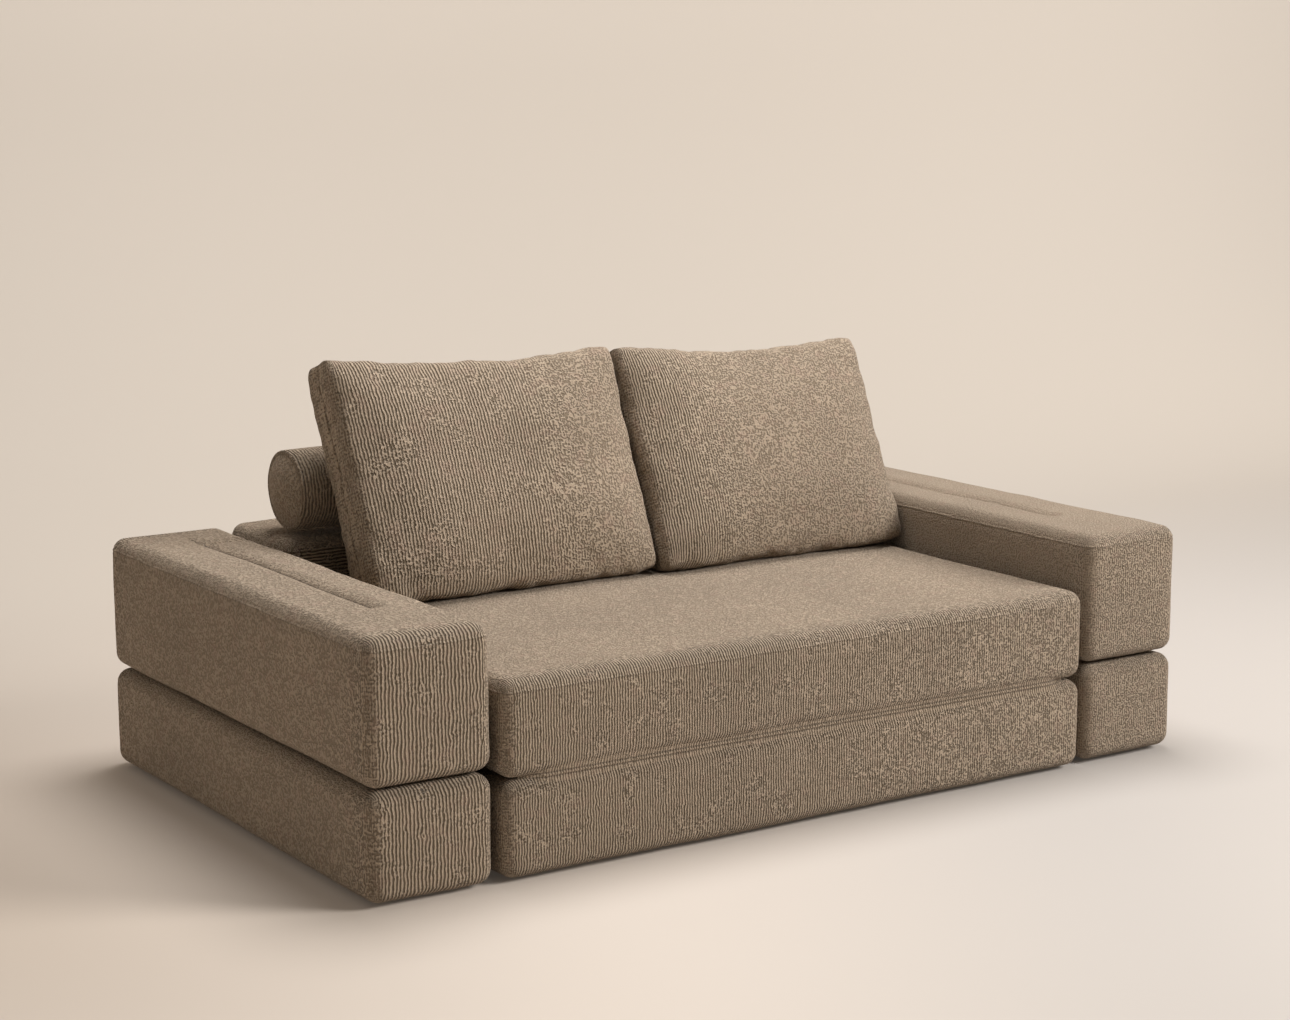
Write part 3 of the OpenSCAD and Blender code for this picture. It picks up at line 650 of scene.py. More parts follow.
class Block:
    """A soft foam block's cover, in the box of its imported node."""

    def __init__(self, node, bulge, extra=((), (), ())):
        low, high = shrunk(*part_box(node), bulge)
        self.half, self.middle = (high - low) / 2, (high + low) / 2
        lines = []
        for axis in range(3):
            at = [e - self.middle[axis] for e in extra[axis]]
            lines.append(axis_lines(self.half[axis], EDGE_R, at, axis == 2))
        self.q, self.quads = lattice_shell(*lines)
        core, self.normal = rounded(self.q, self.half, EDGE_R)
        fade = 1 - (self.q / self.half) ** 2
        amounts = np.array(bulge).reshape(3, 2)
        push = np.where(self.q < 0, -amounts[:, 0], amounts[:, 1])
        swell = push * self.normal ** 2 * np.roll(fade, -1, 1) * np.roll(fade, -2, 1)
        self.points = core + EDGE_R * self.normal + swell
        self.seam = np.zeros(len(self.q))
        self.place = self.q + self.middle

    def soften(self, seed):
        """Shallow swells and dips of stuffed cloth, always inward."""
        dip = LONG_DIP * (ripple(self.place, LONG_WAVE, seed) - DIP_SHIFT)
        dip += SHORT_DIP * (ripple(self.place, SHORT_WAVE, seed + 1) - DIP_SHIFT)
        self.points += self.normal * dip[:, None]

    def sew(self, share=1.0):
        """The thin seam that runs round the block below its top rounding, with painted shade in a dark line on
        its cord's underside.
        """
        height = self.q[:, 2] - (self.half[2] - EDGE_R)
        upright = smooth(*UPRIGHT, np.hypot(self.normal[:, 0], self.normal[:, 1])) * share
        arc = EDGE_R * np.arcsin(np.clip(self.normal[:, 2], -1, 1))
        distance = np.where(height > 0, arc, height) - EDGE_R * SEAM_ANGLE
        distance = distance + SEAM_WANDER * ripple(self.place, SEAM_WAVE, 7)
        self.points += self.normal * (welt(distance) * upright)[:, None]
        # Painted shade: a dark line on the cord's underside, along the seam
        line = np.exp(-(((distance + SEAM_LINE_AT) / SEAM_LINE_W) ** 2))
        self.seam = np.maximum(self.seam, SEAM_SHADE * line * upright)

    def rib_strengths(self, front_lines):
        """Ribs run down the fronts, turn at the upright edges and break up on the tops and sides."""
        n, q, half = np.abs(self.normal), self.q, self.half
        top = smooth(*TOP_TURN, self.normal[:, 2])
        front_gap = half[1] - np.abs(q[:, 1])
        side_gap = half[0] - np.abs(q[:, 0])
        facing = n[:, 1] / np.maximum(np.hypot(n[:, 0], n[:, 1]), 1e-9)
        front = smooth(*FRONT_TURN, facing) * (1 - top)
        side = (1 - top) * (1 - smooth(*FRONT_TURN, facing))
        corner = smooth(0.1, 0.4, facing) * smooth(0.999, 0.9, facing) * (1 - top)
        reach = EDGE_R + FRINGE
        fringe = top * smooth(reach, EDGE_R * 0.75, front_gap)
        fringe_side = top * smooth(reach, EDGE_R * 0.6, side_gap) * (1 - fringe)
        right = smooth(*RIGHT_PART, self.place[:, 0])
        steady = (1.0 - RIGHT_LESS_RIBS * right) * (front + fringe) * (1 - CORNER_LESS_RIBS * corner)
        if front_lines == 2:
            steady *= smooth(0.55, 0.15, self.normal[:, 2])
        near = np.exp(-np.maximum(front_gap - EDGE_R, 0) / NEAR_FRONT)
        ribs = np.zeros((len(q), 3))
        ribs[:, front_lines] = steady
        ribs[:, 1] += side * (SIDE_RIBS + NEAR_RIBS * near) + NEAR_RIBS * fringe_side
        ribs[:, 2 - front_lines] += CORNER_RIBS * corner
        shown = FRONT_RELIEF - RIGHT_LESS_RELIEF * right
        relief = shown * (front + fringe) + (PLAIN_RELIEF + NEAR_RELIEF * near) * side
        relief += PLAIN_RELIEF * top * (1 - fringe)
        relief = np.where(corner > 0.02, relief * (1 - CORNER_LESS_RELIEF * corner), relief)
        return np.clip(ribs, 0, 1), relief

    def build(self, name, body, node, front_lines=0, pitch=RIB_PITCH):
        obj = mesh_object(name, self.points + self.middle, self.quads)
        ribs, relief = self.rib_strengths(front_lines)
        set_fabric(obj, self.place * (RIB_PITCH / pitch), ribs, relief, self.seam)
        return dress(obj, body, node, "cover_fabric")


def dress(obj, body, nodes, slot):
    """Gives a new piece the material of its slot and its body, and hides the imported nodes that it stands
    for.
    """
    obj.data.materials.append(BY_SLOT[slot])
    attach(obj, body)
    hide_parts(*([nodes] if isinstance(nodes, str) else nodes))
    return obj


def valley(distance):
    """A sewn channel's depth across it: soft shoulders that meet in a crease, puffed on both sides."""
    d = np.abs(distance)
    crease = np.exp(-d / CHANNEL_FALL)
    puff = np.exp(-(((d - CHANNEL_PUFF_AT) / CHANNEL_PUFF_W) ** 2))
    return crease - puff * CHANNEL_PUFF / CHANNEL_DEPTH


def sink_channel(block, share, distance):
    """Draws a channel into the block's top, with a row of stitches on both sides of its crease and painted
    shade along the crease.
    """
    up = np.maximum(block.normal[:, 2], 0) ** 2
    block.points[:, 2] -= CHANNEL_DEPTH * valley(distance) * share * up
    rows = np.exp(-(((np.abs(distance) - STITCH_GAP) / STITCH_W) ** 2))
    # Painted shade along the crease
    shade = CREASE_SHADE * np.exp(-((distance / CREASE_SHADE_W) ** 2))
    block.seam = np.maximum(block.seam, np.maximum(rows, shade) * np.clip(share * 1.5, 0, 1) * up)


def around(centre, offsets):
    return [centre + o for o in offsets]


# Lattice lines beside a crease, in millimetres, close where it is steep, and round a channel's start
CREASE = [0, 1.4, 2.8, 4.2, 6, 8.5, 12, 16, 21, 27, 34]
CHANNEL_LINES = sorted({sign * step * MM for step in CREASE for sign in (-1, 1)})
START_LINES = [k * 6 * MM for k in range(-4, 7)]


def arm_sides(sign):
    """An arm crowns on its outer side and is drawn in on the side at the seat."""
    return [-DRAWN_IN, SIDE_CROWN] if sign > 0 else [SIDE_CROWN, -DRAWN_IN]


def arm_top(side, sign):
    """An arm's upper block, with its long channel and the cross channel near the rear."""
    node = f"arm_top_cover_{side}"
    low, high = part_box(node)
    outer = high.x if sign > 0 else low.x
    channel_x = outer - sign * CHANNEL_INSET
    start_y = low.y + CHANNEL_START
    cross_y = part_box("back_top_cover")[0].y + CROSS_INSET
    across = around(cross_y, CHANNEL_LINES) + around(start_y, START_LINES)
    bulge = arm_sides(sign) + [SIDE_CROWN, ARM_REAR_CROWN, 0, TOP_CROWN]
    block = Block(node, bulge, (around(channel_x, CHANNEL_LINES), across, ()))
    block.soften(11 if sign > 0 else 12)
    block.sew()
    inner = -sign * (block.place[:, 0] - channel_x)
    past = block.place[:, 1] - cross_y
    from_start = start_y - block.place[:, 1]
    bent = np.where(from_start > 0, np.hypot(inner, from_start * START_OVAL), inner)
    run = smooth(*CHANNEL_RUN_IN, from_start) * smooth(CHANNEL_FADE, 0, past)
    reach = smooth(*CROSS_START, inner)
    first = np.abs(bent) <= np.abs(past) / np.maximum(reach, 1e-3)
    sink_channel(block, np.where(first, run, reach), np.where(first, bent, past))
    return block.build(f"arm_top_cushion_{side}", f"arm_top_{side}", node, pitch=ARM_PITCH[side])


def arm_base(side, sign):
    """An arm's lower block."""
    node = f"arm_base_cover_{side}"
    block = Block(node, arm_sides(sign) + [SIDE_CROWN, ARM_REAR_CROWN, 0, 0])
    block.soften(21 if sign > 0 else 22)
    block.sew(0.6)
    return block.build(f"arm_base_cushion_{side}", "root", node, pitch=ARM_PITCH[side])


def back_top():
    """The back's upper block, with its cross channel."""
    node = "back_top_cover"
    cross_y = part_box(node)[0].y + CROSS_INSET
    bulge = [-DRAWN_IN, -DRAWN_IN, -DRAWN_IN, SIDE_CROWN, 0, TOP_CROWN]
    block = Block(node, bulge, ((), around(cross_y, CHANNEL_LINES), ()))
    block.soften(31)
    block.sew()
    distance = block.place[:, 1] - cross_y
    sink_channel(block, np.ones(len(distance)), distance)
    return block.build("back_top_cushion", "back_top", node, front_lines=2)


def plain_block(part, body, faces, seed, share=1.0):
    """A block without channels; its faces are the crowns of front, rear, bottom and top."""
    node = part + "_cover"
    block = Block(node, [-DRAWN_IN, -DRAWN_IN] + faces)
    block.soften(seed)
    block.sew(share)
    if part.startswith("back"):
        return block.build(part + "_cushion", body, node, front_lines=2)
    return block.build(part + "_cushion", body, node, pitch=SEAT_PITCH)


for side, sign in (("left", -1), ("right", 1)):
    arm_base(side, sign)
    arm_top(side, sign)
back_top()
plain_block("back_base", "root", [-DRAWN_IN, SIDE_CROWN, 0, 0], 41)
plain_block("seat_base", "root", [SIDE_CROWN, -DRAWN_IN, 0, 0], 42, 0.4)
plain_block("mattress", "mattress", [SIDE_CROWN, -DRAWN_IN, 0, TOP_CROWN], 43)


def fold_strip():
    """The strip of cover fabric across the groove between seat base and mattress."""
    low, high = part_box("fold_strip_lower")
    line = high.z
    middle = np.array([(low.x + high.x) / 2, low.y, line])
    half = np.array([(high.x - low.x) / 2 - STRIP_TUCK, STRIP_HALF_T, STRIP_REACH])
    lengths = np.linspace(-half[0], half[0], 97)
    heights = np.linspace(-half[2], half[2], 33)
    q, quads = lattice_shell(lengths, np.array([-half[1], half[1]]), heights)
    away = np.abs(q[:, 2])
    rounding = EDGE_R - math.sqrt(EDGE_R ** 2 - (EDGE_R - STRIP_REACH) ** 2)
    slope = (EDGE_R - STRIP_REACH) / (EDGE_R - rounding)
    run = STRIP_REACH - away
    groove = rounding + slope * run * (1 - STRIP_HOLLOW * run / STRIP_REACH)
    cord = np.exp(-((away / STRIP_WELT_W) ** 2))
    crease = np.exp(-(((away - STRIP_CREASE) / STRIP_CREASE_W) ** 2))
    depth = STRIP_SINK + groove - STRIP_WELT_H * cord + STRIP_CREASE_DEPTH * crease
    depth += STRIP_SWELL * ripple(q, STRIP_WAVE, 45) * (1 - away / STRIP_REACH)
    end = smooth(half[0] - STRIP_END, half[0], np.abs(q[:, 0]))
    depth += STRIP_END_SINK * end * (run / STRIP_REACH) ** 1.5
    points = np.stack([q[:, 0], q[:, 1] + half[1] + depth, q[:, 2]], 1)
    obj = mesh_object("fold_welt", points + middle, quads)
    flat = np.zeros(len(q))
    weave = (q + middle) * (RIB_PITCH / SEAT_PITCH)
    ribs = np.stack([flat + STRIP_RIBS, flat, flat], 1)
    # Painted shade in the creases beside the cord
    set_fabric(obj, weave, ribs, flat + STRIP_RELIEF, np.clip(STRIP_CREASE_SHADE * crease, 0, 1))
    obj.data.materials.append(BY_SLOT["cover_fabric"])
    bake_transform(obj)
    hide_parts("fold_strip_lower", "fold_strip_upper")


fold_strip()


# Pillows

def stuffed(obj, held):
    """Blows the sewn shape up with Blender's Cloth, as stuffing does, and gives back its points."""
    group = obj.vertex_groups.new(name="seam")
    for share in np.unique(held[held > 0]):
        group.add(np.flatnonzero(held == share).tolist(), float(share), "REPLACE")
    cloth = obj.modifiers.new("stuffing", "CLOTH")
    cloth.settings.vertex_group_mass = "seam"
    cloth.settings.quality = 5
    cloth.settings.mass = 0.3
    cloth.settings.tension_stiffness = cloth.settings.compression_stiffness = 12
    cloth.settings.shear_stiffness = 6
    cloth.settings.bending_stiffness = 0.4
    cloth.settings.use_pressure = True
    cloth.settings.uniform_pressure_force = 4
    cloth.settings.effector_weights.gravity = 0
    cloth.collision_settings.use_collision = False
    cloth.point_cache.frame_start, cloth.point_cache.frame_end = 1, STUFF_FRAMES
    for step in range(1, STUFF_FRAMES + 1):
        bpy.context.scene.frame_set(step)
    baked = obj.evaluated_get(bpy.context.evaluated_depsgraph_get()).to_mesh()
    points = np.zeros(len(baked.vertices) * 3)
    baked.vertices.foreach_get("co", points)
    obj.modifiers.clear()
    obj.vertex_groups.clear()
    bpy.context.scene.frame_set(1)
    return points.reshape(-1, 3)


def fullness(share, power):
    """1 in the middle and 0 at the rim, the faster there the higher the power."""
    return np.maximum(0, 1 - np.abs(share) ** power) ** (1 / power)


class Pillow:
    """A stuffed pillow: full to its sides and corners, with a band along its rim and a sagging top."""

    def __init__(self, side):
        fill_low, fill_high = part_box(f"pillow_fill_{side}")
        span = fill_high - fill_low
        lean = PILLOW_LEAN[side]
        self.centre = (fill_low + fill_high) / 2
        self.width = span.x / FILL_SHARE[0]
        self.height = (span.z - FILL_SHARE[1] * PILLOW_T * math.sin(lean)) / (FILL_SHARE[2] * math.cos(lean))
        self.turn = np.array(Matrix.Rotation(-lean, 3, "X"))
        self.spread = PILLOW_SPREAD[side]
        self.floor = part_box(f"pillow_cover_{side}")[0].z
        shares = np.linspace(0, 1, 4001) ** 0.3
        half = PILLOW_RIM / 2 + (PILLOW_T - PILLOW_RIM) / 2 * fullness(shares, SIDE_POWER)
        steps = np.hypot(np.diff(shares * self.width / 2), np.diff(half))
        self.arc = shares, np.concatenate([[0], np.cumsum(steps)])

    def full(self, q):
        """How thick the pillow is, from 0 at its rim to 1 in its middle."""
        a, b = fullness(q[:, 0], SIDE_POWER), fullness(q[:, 2], TOP_POWER)
        least = np.minimum(a, b)
        a, b = np.maximum(a, 1e-4), np.maximum(b, 1e-4)
        both = (a ** -BLEND_POWER + b ** -BLEND_POWER - 1) ** (-1 / BLEND_POWER)
        return np.where(least > 1e-4, both, 0)

    def surface(self, q):
        """Points in the pillow's own frame, for shares of its width, thickness and height."""
        u, v = q[:, 0], q[:, 2]
        thick = PILLOW_RIM / 2 + (PILLOW_T - PILLOW_RIM) / 2 * self.full(q)
        inset = PILLOW_CORNER * np.abs(u * v) ** CORNER_POWER
        draw = np.where(v > 0, PILLOW_SAG, PILLOW_DRAW)
        x = u * (self.width / 2 - PILLOW_DRAW * (1 - v * v) - inset)
        x -= (self.spread[0] + self.spread[1] * (v + 1) / 2) * (1 - u) / 2
        z = v * (self.height / 2 - draw * (1 - u * u) - inset) - PILLOW_SLOPE * u * (v + 1) / 2
        return np.stack([x, q[:, 1] * thick, z], 1)

    def along(self, q):
        """The way along the cloth from the middle, over the face and round the side."""
        return np.sign(q[:, 0]) * np.interp(np.abs(q[:, 0]), *self.arc)

    def placed(self, points):
        """The pillow's own frame turned into the sofa's, with the foot flat on the seat."""
        return laid(points @ self.turn.T, self.centre, self.floor)


def pillow_steps(count, power):
    """Shares of a half side: even steps over the face, then even steps of thickness round the edge."""
    edge = (1 - np.linspace(0.7, 0, 7) ** power) ** (1 / power)
    half = np.concatenate([np.linspace(0, edge[0], count)[:-1], edge])
    return np.concatenate([-half[:0:-1], half])


# Lattice lines across a pillow, as shares of its half thickness
BAND = np.array([-1, -0.7, -0.4, -0.2, -0.08, 0, 0.08, 0.2, 0.4, 0.7, 1])


def refined(obj):
    """One level of subdivision, applied; the cloth's values ride along."""
    level = obj.modifiers.new("finer", "SUBSURF")
    level.levels = level.render_levels = 1
    smoothed = bpy.data.meshes.new_from_object(obj.evaluated_get(bpy.context.evaluated_depsgraph_get()))
    obj.modifiers.clear()
    obj.data = smoothed


def read_vectors(obj, name):
    values = np.zeros(len(obj.data.vertices) * 3, np.float32)
    obj.data.attributes[name].data.foreach_get("vector", values)
    return values.reshape(-1, 3).astype(float)


# A pillow's ribs: how fine they are, and their strength and depth from its left end, -1, to its right, 1
PILLOW_WEAVE = {"left": 1.0, "right": 1.1}
PILLOW_RIBS = 0.95
RIBS_BREAK = {"left": (0.05, 0.6), "right": (-0.75, -0.2)}
RIBS_LOST = {"left": 0.65, "right": 0.7}
PILLOW_RELIEF = {"left": 1.35, "right": 1.3}
RELIEF_FALLS = {"left": ((-0.8, -0.3, 0.3), (0.1, 0.8, 0.2)), "right": ((-0.9, -0.3, 0.35),)}
PILLOW_EDGE = (0.95, 0.995)
PILLOW_HEAD = (0.88, 0.97)
EDGE_LESS_RIBS = 0.6
EDGE_RIBS = 0.35
EDGE_LESS_RELIEF = 0.35
HEAD_LESS_RELIEF = 0.2


def pillow_ribs(side, q):
    """How strong the ribs are across X, Y and Z and how deep: they break up towards a pillow's right end."""
    u = q[:, 0]
    steady = PILLOW_RIBS - RIBS_LOST[side] * smooth(*RIBS_BREAK[side], u)
    relief = PILLOW_RELIEF[side]
    for start, end, fall in RELIEF_FALLS[side]:
        relief = relief - fall * smooth(start, end, u)
    edge = smooth(*PILLOW_EDGE, np.abs(u))
    head = smooth(*PILLOW_HEAD, np.abs(q[:, 2])) * (1 - edge)
    ribs = np.stack([steady * (1 - EDGE_LESS_RIBS * edge), 0 * u, EDGE_RIBS * edge], 1)
    return ribs, relief * (1 - HEAD_LESS_RELIEF * head) * (1 - EDGE_LESS_RELIEF * edge)


def stuffed_moves(obj, goal, normal, full):
    """How far the stuffing moves each point of the pillow's form, within its limits."""
    moved = stuffed(obj, np.round(smooth(*STUFF_HELD, full), 1)) - goal
    out = (moved * normal).sum(1)
    slide = moved - normal * out[:, None]
    far = np.linalg.norm(slide, axis=1)[:, None]
    slide *= np.minimum(1, STUFF_SLIDE / np.maximum(far, 1e-9))
    return slide + normal * np.clip(out, -STUFF_IN, STUFF_OUT)[:, None]


def pillow(side, seed):
    """A pillow's cover: stuffed, made finer, and then swelled, gathered and sewn."""
    form = Pillow(side)
    q, quads = lattice_shell(pillow_steps(24, SIDE_POWER), BAND, pillow_steps(17, TOP_POWER))
    goal = form.surface(q)
    normal = normals_of(goal, quads)
    full = form.full(q)
    moves = -normal * (STUFF_FROM * smooth(0, 0.6, full))[:, None]
    obj = mesh_object(f"pillow_{side}_cushion", goal + moves, quads)
    moves = stuffed_moves(obj, goal, normal, full)
    vector_attribute(obj, "share", q)
    vector_attribute(obj, "moved", moves)
    refined(obj)

    q = read_vectors(obj, "share")
    points = form.surface(q) + read_vectors(obj, "moved")
    quads = np.array([list(face.vertices) for face in obj.data.polygons])
    normal = normals_of(points, quads)
    full = form.full(q)
    near = smooth(*SWELL_FADE, full)
    corner = smooth(*CORNER_AT, np.minimum(np.abs(q[:, 0]), np.abs(q[:, 2])))
    gathers = smooth(*GATHER_FADE, full) * (1 - corner)
    swell = PILLOW_SWELL * ripple(points, PILLOW_WAVE, seed) * near
    swell += PILLOW_SWELL * (ripple(points, PILLOW_LONG_WAVE, seed + 1) - PILLOW_SHIFT)
    swell += GATHER_SWELL * ripple(points, GATHER_WAVE, seed + 2) * gathers
    points += normal * swell[:, None]
    seam = np.exp(-((points[:, 1] / PILLOW_SEAM_W) ** 2)) * smooth(*SEAM_FADE, full)
    points -= normal * (PILLOW_SEAM_DEPTH * seam * (1 - corner))[:, None]
    obj.data.vertices.foreach_set("co", form.placed(points).astype(np.float32).ravel())
    obj.data.update()
    weave = np.stack([form.along(q) + form.centre.x, points[:, 1], q[:, 2] * form.height / 2], 1)
    set_fabric(obj, weave * PILLOW_WEAVE[side], *pillow_ribs(side, q), PILLOW_SEAM_SHADE * seam)
    return dress(obj, f"pillow_{side}", f"pillow_cover_{side}", "cover_fabric")


def pillow_fill(side):
    """The stuffing inside, a smaller pillow shape."""
    form = Pillow(side)
    depths = np.array([-1.0, 0.0, 1.0])
    q, quads = lattice_shell(pillow_steps(11, SIDE_POWER), depths, pillow_steps(8, TOP_POWER))
    node = f"pillow_fill_{side}"
    points = laid(form.surface(q) * np.array(FILL_SHARE) @ form.turn.T, form.centre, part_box(node)[0].z)
    return dress(mesh_object(node + "_block", points, quads), f"pillow_{side}", node, "foam")


for side, seed in (("left", 61), ("right", 65)):
    pillow(side, seed)
    pillow_fill(side)


# Bolster

def roll_profile(half, radius, shoulder, puff):
    """Half of a roll's outline from its middle to its end, as distance along and radius."""
    rows = [(x, radius) for x in np.linspace(0, half - puff - shoulder, 60)]
    for a in np.linspace(0, 90, 13)[1:]:
        t = math.radians(a)
        along = half - puff - shoulder + shoulder * math.sin(t)
        rows.append((along, radius - shoulder + shoulder * math.cos(t)))
    for r in np.linspace(radius - shoulder, ROLL_EYE, 20)[1:]:
        rows.append((half - puff * (r / (radius - shoulder)) ** 2, r))
    return np.array(rows)


def roll(profile, turns=96):
    """A closed roll along X: its points and quads, with each point's way along the skin."""
    steps = np.linalg.norm(np.diff(profile, axis=0), axis=1)
    length = np.concatenate([[0], np.cumsum(steps)])
    rows = np.concatenate([profile[::-1] * [-1, 1], profile[1:]])
    along = np.repeat(np.concatenate([-length[::-1], length[1:]]), turns)
    angle = np.tile(np.arange(turns) * 2 * math.pi / turns, len(rows))
    x, r = np.repeat(rows[:, 0], turns), np.repeat(rows[:, 1], turns)
    points = np.stack([x, r * np.sin(angle), r * np.cos(angle)], 1)
    index = np.arange(len(points)).reshape(len(rows), turns)
    after = np.roll(index, -1, 1)
    quads = np.stack([index[:-1], index[1:], after[1:], after[:-1]], -1).reshape(-1, 4)
    ends = []
    for ring, flip in ((index[0], True), (index[-1], False)):
        for k in range(turns // 2 - 1):
            quad = [ring[k], ring[turns - 1 - k], ring[turns - 2 - k], ring[k + 1]]
            ends.append(quad[::-1] if flip else quad)
    return points, np.concatenate([quads, np.array(ends)]), along


def roll_box(node, less=0.0):
    """The centre, radius, half length and foot of a roll that fills its node's box."""
    low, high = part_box(node)
    radius = (high.y - low.y) / 2 - less
    centre = np.array([(low.x + high.x) / 2, (low.y + high.y) / 2, high.z - radius])
    return centre, radius, (high.x - low.x) / 2, low.z


def bolster():
    """A stuffed roll with a piped seam round each end, and painted shade in the grooves beside the piping."""
    node = "bolster_cover"
    centre, radius, half, foot = roll_box(node, PIPING_OUT)
    points, quads, along = roll(roll_profile(half, radius, BOLSTER_SHOULDER, BOLSTER_PUFF))
    normal = normals_of(points, quads)
    shoulder_at = half - BOLSTER_PUFF - BOLSTER_SHOULDER
    distance = np.abs(along) - (shoulder_at + BOLSTER_SHOULDER * math.radians(45))
    cord = np.exp(-((distance / PIPING_W) ** 2))
    beside = np.exp(-(((np.abs(distance) - 2 * PIPING_W) / (0.5 * PIPING_W)) ** 2))
    points += normal * (PIPING_H * cord - PIPING_GROOVE * beside)[:, None]
    points += normal * (BOLSTER_SWELL * (ripple(points, BOLSTER_WAVE, 71) - BOLSTER_SHIFT))[:, None]
    obj = mesh_object("bolster_roll", laid(points, centre, foot), quads)
    cap = smooth(0, CAP_FADE, distance)
    flat = 0 * cap
    weave = np.stack([np.where(cap > 0, points[:, 0], along), points[:, 1], points[:, 2]], 1)
    ribs = np.stack([BOLSTER_RIBS * (1 - cap), flat, flat], 1)
    set_fabric(obj, weave, ribs, flat + BOLSTER_RELIEF, BOLSTER_GROOVE_SHADE * beside)
    return dress(obj, "bolster", node, "cover_fabric")


def bolster_core():
    node = "bolster_foam"
    centre, radius, half, foot = roll_box(node)
    points, quads = roll(roll_profile(half, radius, CORE_SHOULDER, CORE_PUFF), 48)[:2]
    obj = mesh_object("bolster_core", laid(points, centre, foot), quads)
    return dress(obj, "bolster", node, "foam")


bolster()
bolster_core()


# Foam cores

def foam_block(node, body, slot):
    """A foam core: a box with small rounded edges."""
    low, high = (np.array(corner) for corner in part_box(node))
    half, middle = (high - low) / 2, (high + low) / 2
    lines = []
    for h in half:
        flat = np.linspace(-h + FOAM_R, h - FOAM_R, 6)[1:-1].tolist()
        lines.append(sorted(edge_lines(h, FOAM_R, FOAM_ANGLES) + flat))
    q, quads = lattice_shell(*lines)
    core, normal = rounded(q, half, FOAM_R)
    obj = mesh_object(node + "_block", core + FOAM_R * normal + middle, quads)
    return dress(obj, body, node, slot)


for part in frame["record"]["subparts"]:
    name = part["node"]
    if part["material_slot"] in ("foam", "comfort_foam") and not name.startswith(("bolster", "pillow")):
        foam_block(name, frame["nodes"][name]["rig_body"], part["material_slot"])


# Room, light and camera

# The backdrop's colours, glow and size: painted shade where the lamps are near, a painted shadow at the left,
# and a glow of painted light
PAPER = ((0.64, 0.567, 0.50, 1), (0.66, 0.585, 0.517, 1))
# Painted shade: darker paper at the right, where the lamps are near
NEAR_LAMP_PAINTED_SHADE = (0.475, 0.44, 0.41, 1)
# Painted shadow: darker paper at the left
SHADED_PAPER = (0.53, 0.45, 0.375, 1)
WALL_PAPER = (0.36, 0.32, 0.278, 1)
# Painted light: the paper glows though it is no lamp
PAPER_GLOW = (1.0, 0.885, 0.765, 1)
WALL_GLOW = (0.19, 0.36)
FLOOR_GLOW = (0.135, 0.03)
WALL_Y = 3.6
SWEEP_R = 1.6
FLOOR_FRONT = -9.0
ROOM_HALF_W = 16.0
ROOM_H = 9.0

# Where the paper's tones, painted shade, painted shadow and glow change, along X and Y
PAPER_CLOUDS = 0.5
WALL_RISE = (0.4, 3.0)
NEAR_LAMP_SLANT = -0.66
NEAR_LAMP_REACH = (-0.3, 1.35)
SHADE_X = (-1.9, -0.6)
SHADE_Y = (-2.4, 0.2)
WALL_GLOW_X = (1.0, 5.5)
FLOOR_GLOW_Y = (-2.4, -0.6)


def paper():
    """Pale paper that glows a little as painted light, with painted shade at the right, where the lamps are
    near, and a painted shadow at the left.
    """
    g = Graph("studio_paper")
    place = g.place()
    x, y = g.axes(place)[:2]
    rise = g.spread(y, *WALL_RISE)
    # Painted shade: darker paper where the lamps are near
    near_lamp_shade = g.spread(g.math("MULTIPLY_ADD", y, NEAR_LAMP_SLANT, x), *NEAR_LAMP_REACH)
    # Painted shadow at the left
    shaded = g.math("MULTIPLY", g.spread(y, *SHADE_Y), g.spread(x, *SHADE_X, 1.0, 0.0))
    floor = g.mix_colour(g.noise(place, PAPER_CLOUDS, 2.0).outputs["Fac"], *PAPER)
    floor = g.mix_colour(near_lamp_shade, floor, NEAR_LAMP_PAINTED_SHADE)
    floor = g.mix_colour(shaded, floor, SHADED_PAPER)
    g.set(Base_Color=g.mix_colour(rise, floor, WALL_PAPER), Roughness=0.95, Specular_IOR_Level=0.05)
    # Painted light: a glow on the wall, rising towards the right, and on the floor, most at its front
    wall_glow = g.spread(x, *WALL_GLOW_X, *WALL_GLOW)
    floor_glow = g.spread(y, *FLOOR_GLOW_Y, *FLOOR_GLOW)
    g.set(Emission_Color=PAPER_GLOW, Emission_Strength=g.math("MULTIPLY_ADD", rise, wall_glow, floor_glow))
    behind = g.node("ShaderNodeNewGeometry").outputs["Backfacing"]
    g.set(Alpha=g.math("SUBTRACT", 1.0, behind))
    return g.material


def studio():
    """A floor that sweeps up into the wall behind, and that is clear when it is seen from its back."""
    profile = [(FLOOR_FRONT, 0.0), (WALL_Y - SWEEP_R, 0.0)]
    for a in np.linspace(0, 90, 13)[1:]:
        t = math.radians(a)
        profile.append((WALL_Y - SWEEP_R + SWEEP_R * math.sin(t), SWEEP_R - SWEEP_R * math.cos(t)))
    profile.append((WALL_Y, ROOM_H))
    points = np.array([(x, y, z) for y, z in profile for x in (-ROOM_HALF_W, ROOM_HALF_W)])
    index = np.arange(len(points)).reshape(-1, 2)
    quads = np.stack([index[:-1, 0], index[:-1, 1], index[1:, 1], index[1:, 0]], 1)
    obj = mesh_object("studio_sweep", points, quads)
    obj.data.materials.append(paper())


def area_light(name, place, target, size, power, colour):
    """A round lamp that points at its target."""
    data = bpy.data.lights.new(name, "AREA")
    data.shape, data.size, data.energy, data.color = "DISK", size, power, colour
    obj = bpy.data.objects.new(name, data)
    bpy.context.scene.collection.objects.link(obj)
    obj.location = place
    obj.rotation_euler = (Vector(target) - Vector(place)).to_track_quat("-Z", "Y").to_euler()


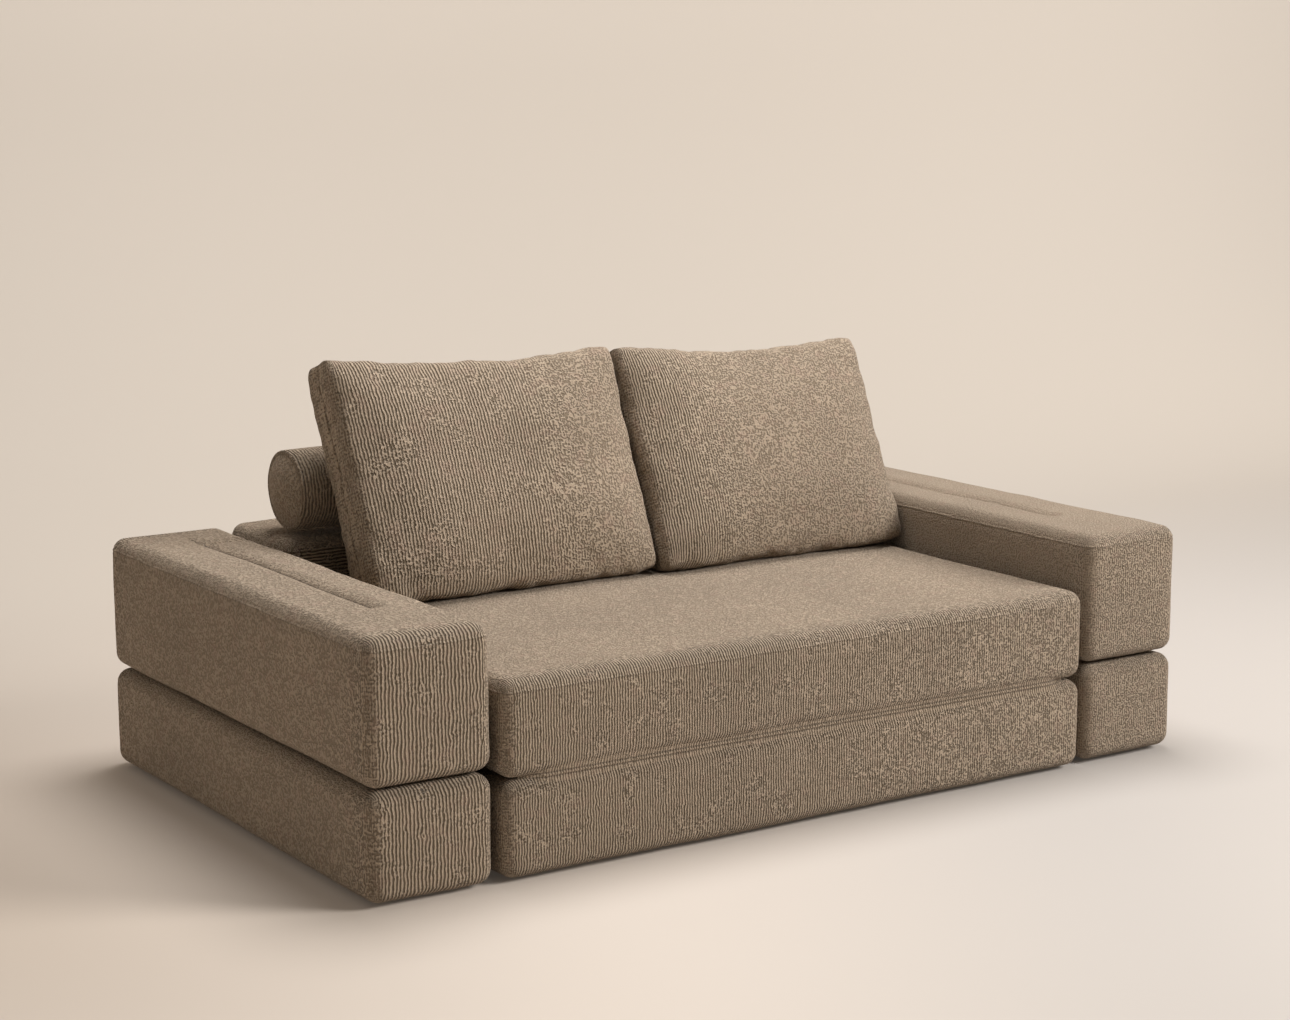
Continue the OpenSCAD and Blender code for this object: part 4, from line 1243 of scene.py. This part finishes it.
# The camera's place in metres and its turns in radians
CAMERA_AT = Vector((-3.3960, -5.1334, 1.7168))
CAMERA_TURN = 0.5829
CAMERA_DIP = 0.1770
CAMERA_ROLL = -0.0037
SENSOR_MM = 36.0
LENS_MM = 72.17


def camera():
    """The photograph's view, fitted to the straight edges of the blocks."""
    data = bpy.data.cameras.new("camera")
    data.sensor_width, data.lens = SENSOR_MM, LENS_MM
    data.clip_start, data.clip_end = 0.1, 60.0
    obj = bpy.data.objects.new("camera", data)
    bpy.context.scene.collection.objects.link(obj)
    ahead = math.cos(CAMERA_DIP)
    look = Vector((math.sin(CAMERA_TURN) * ahead, math.cos(CAMERA_TURN) * ahead, -math.sin(CAMERA_DIP)))
    right = look.cross(Vector((0, 0, 1))).normalized()
    up = right.cross(look)
    turned_right = right * math.cos(CAMERA_ROLL) + up * math.sin(CAMERA_ROLL)
    turned_up = up * math.cos(CAMERA_ROLL) - right * math.sin(CAMERA_ROLL)
    axes = Matrix((turned_right, turned_up, -look)).transposed()
    obj.matrix_world = Matrix.Translation(CAMERA_AT) @ axes.to_4x4()
    bpy.context.scene.camera = obj


# Each lamp's name, place, target, width, power in watts and colour
LAMPS = (
    ("key", (5.0, -5.0, 4.2), (0.0, 0.0, 0.3), 3.2, 600, (1.0, 0.98, 0.955)),
    ("overhead", (0.6, 0.55, 4.8), (0.6, 0.4, 0.0), 3.0, 205, (1.0, 0.99, 0.985)),
    ("fill", (-5.0, -1.6, 0.8), (-1.1, 0.0, 0.45), 1.2, 15, (1.0, 0.94, 0.86)),
)
SKY_COLOUR = (1.0, 0.925, 0.83, 1)
SKY_STRENGTH = 0.16

studio()
for lamp in LAMPS:
    area_light(*lamp)
camera()

scene = bpy.context.scene
scene.view_settings.view_transform = "Standard"
scene.world = bpy.data.worlds.new("studio")
scene.world.use_nodes = True
sky = scene.world.node_tree.nodes["Background"]
sky.inputs["Color"].default_value = SKY_COLOUR
sky.inputs["Strength"].default_value = SKY_STRENGTH
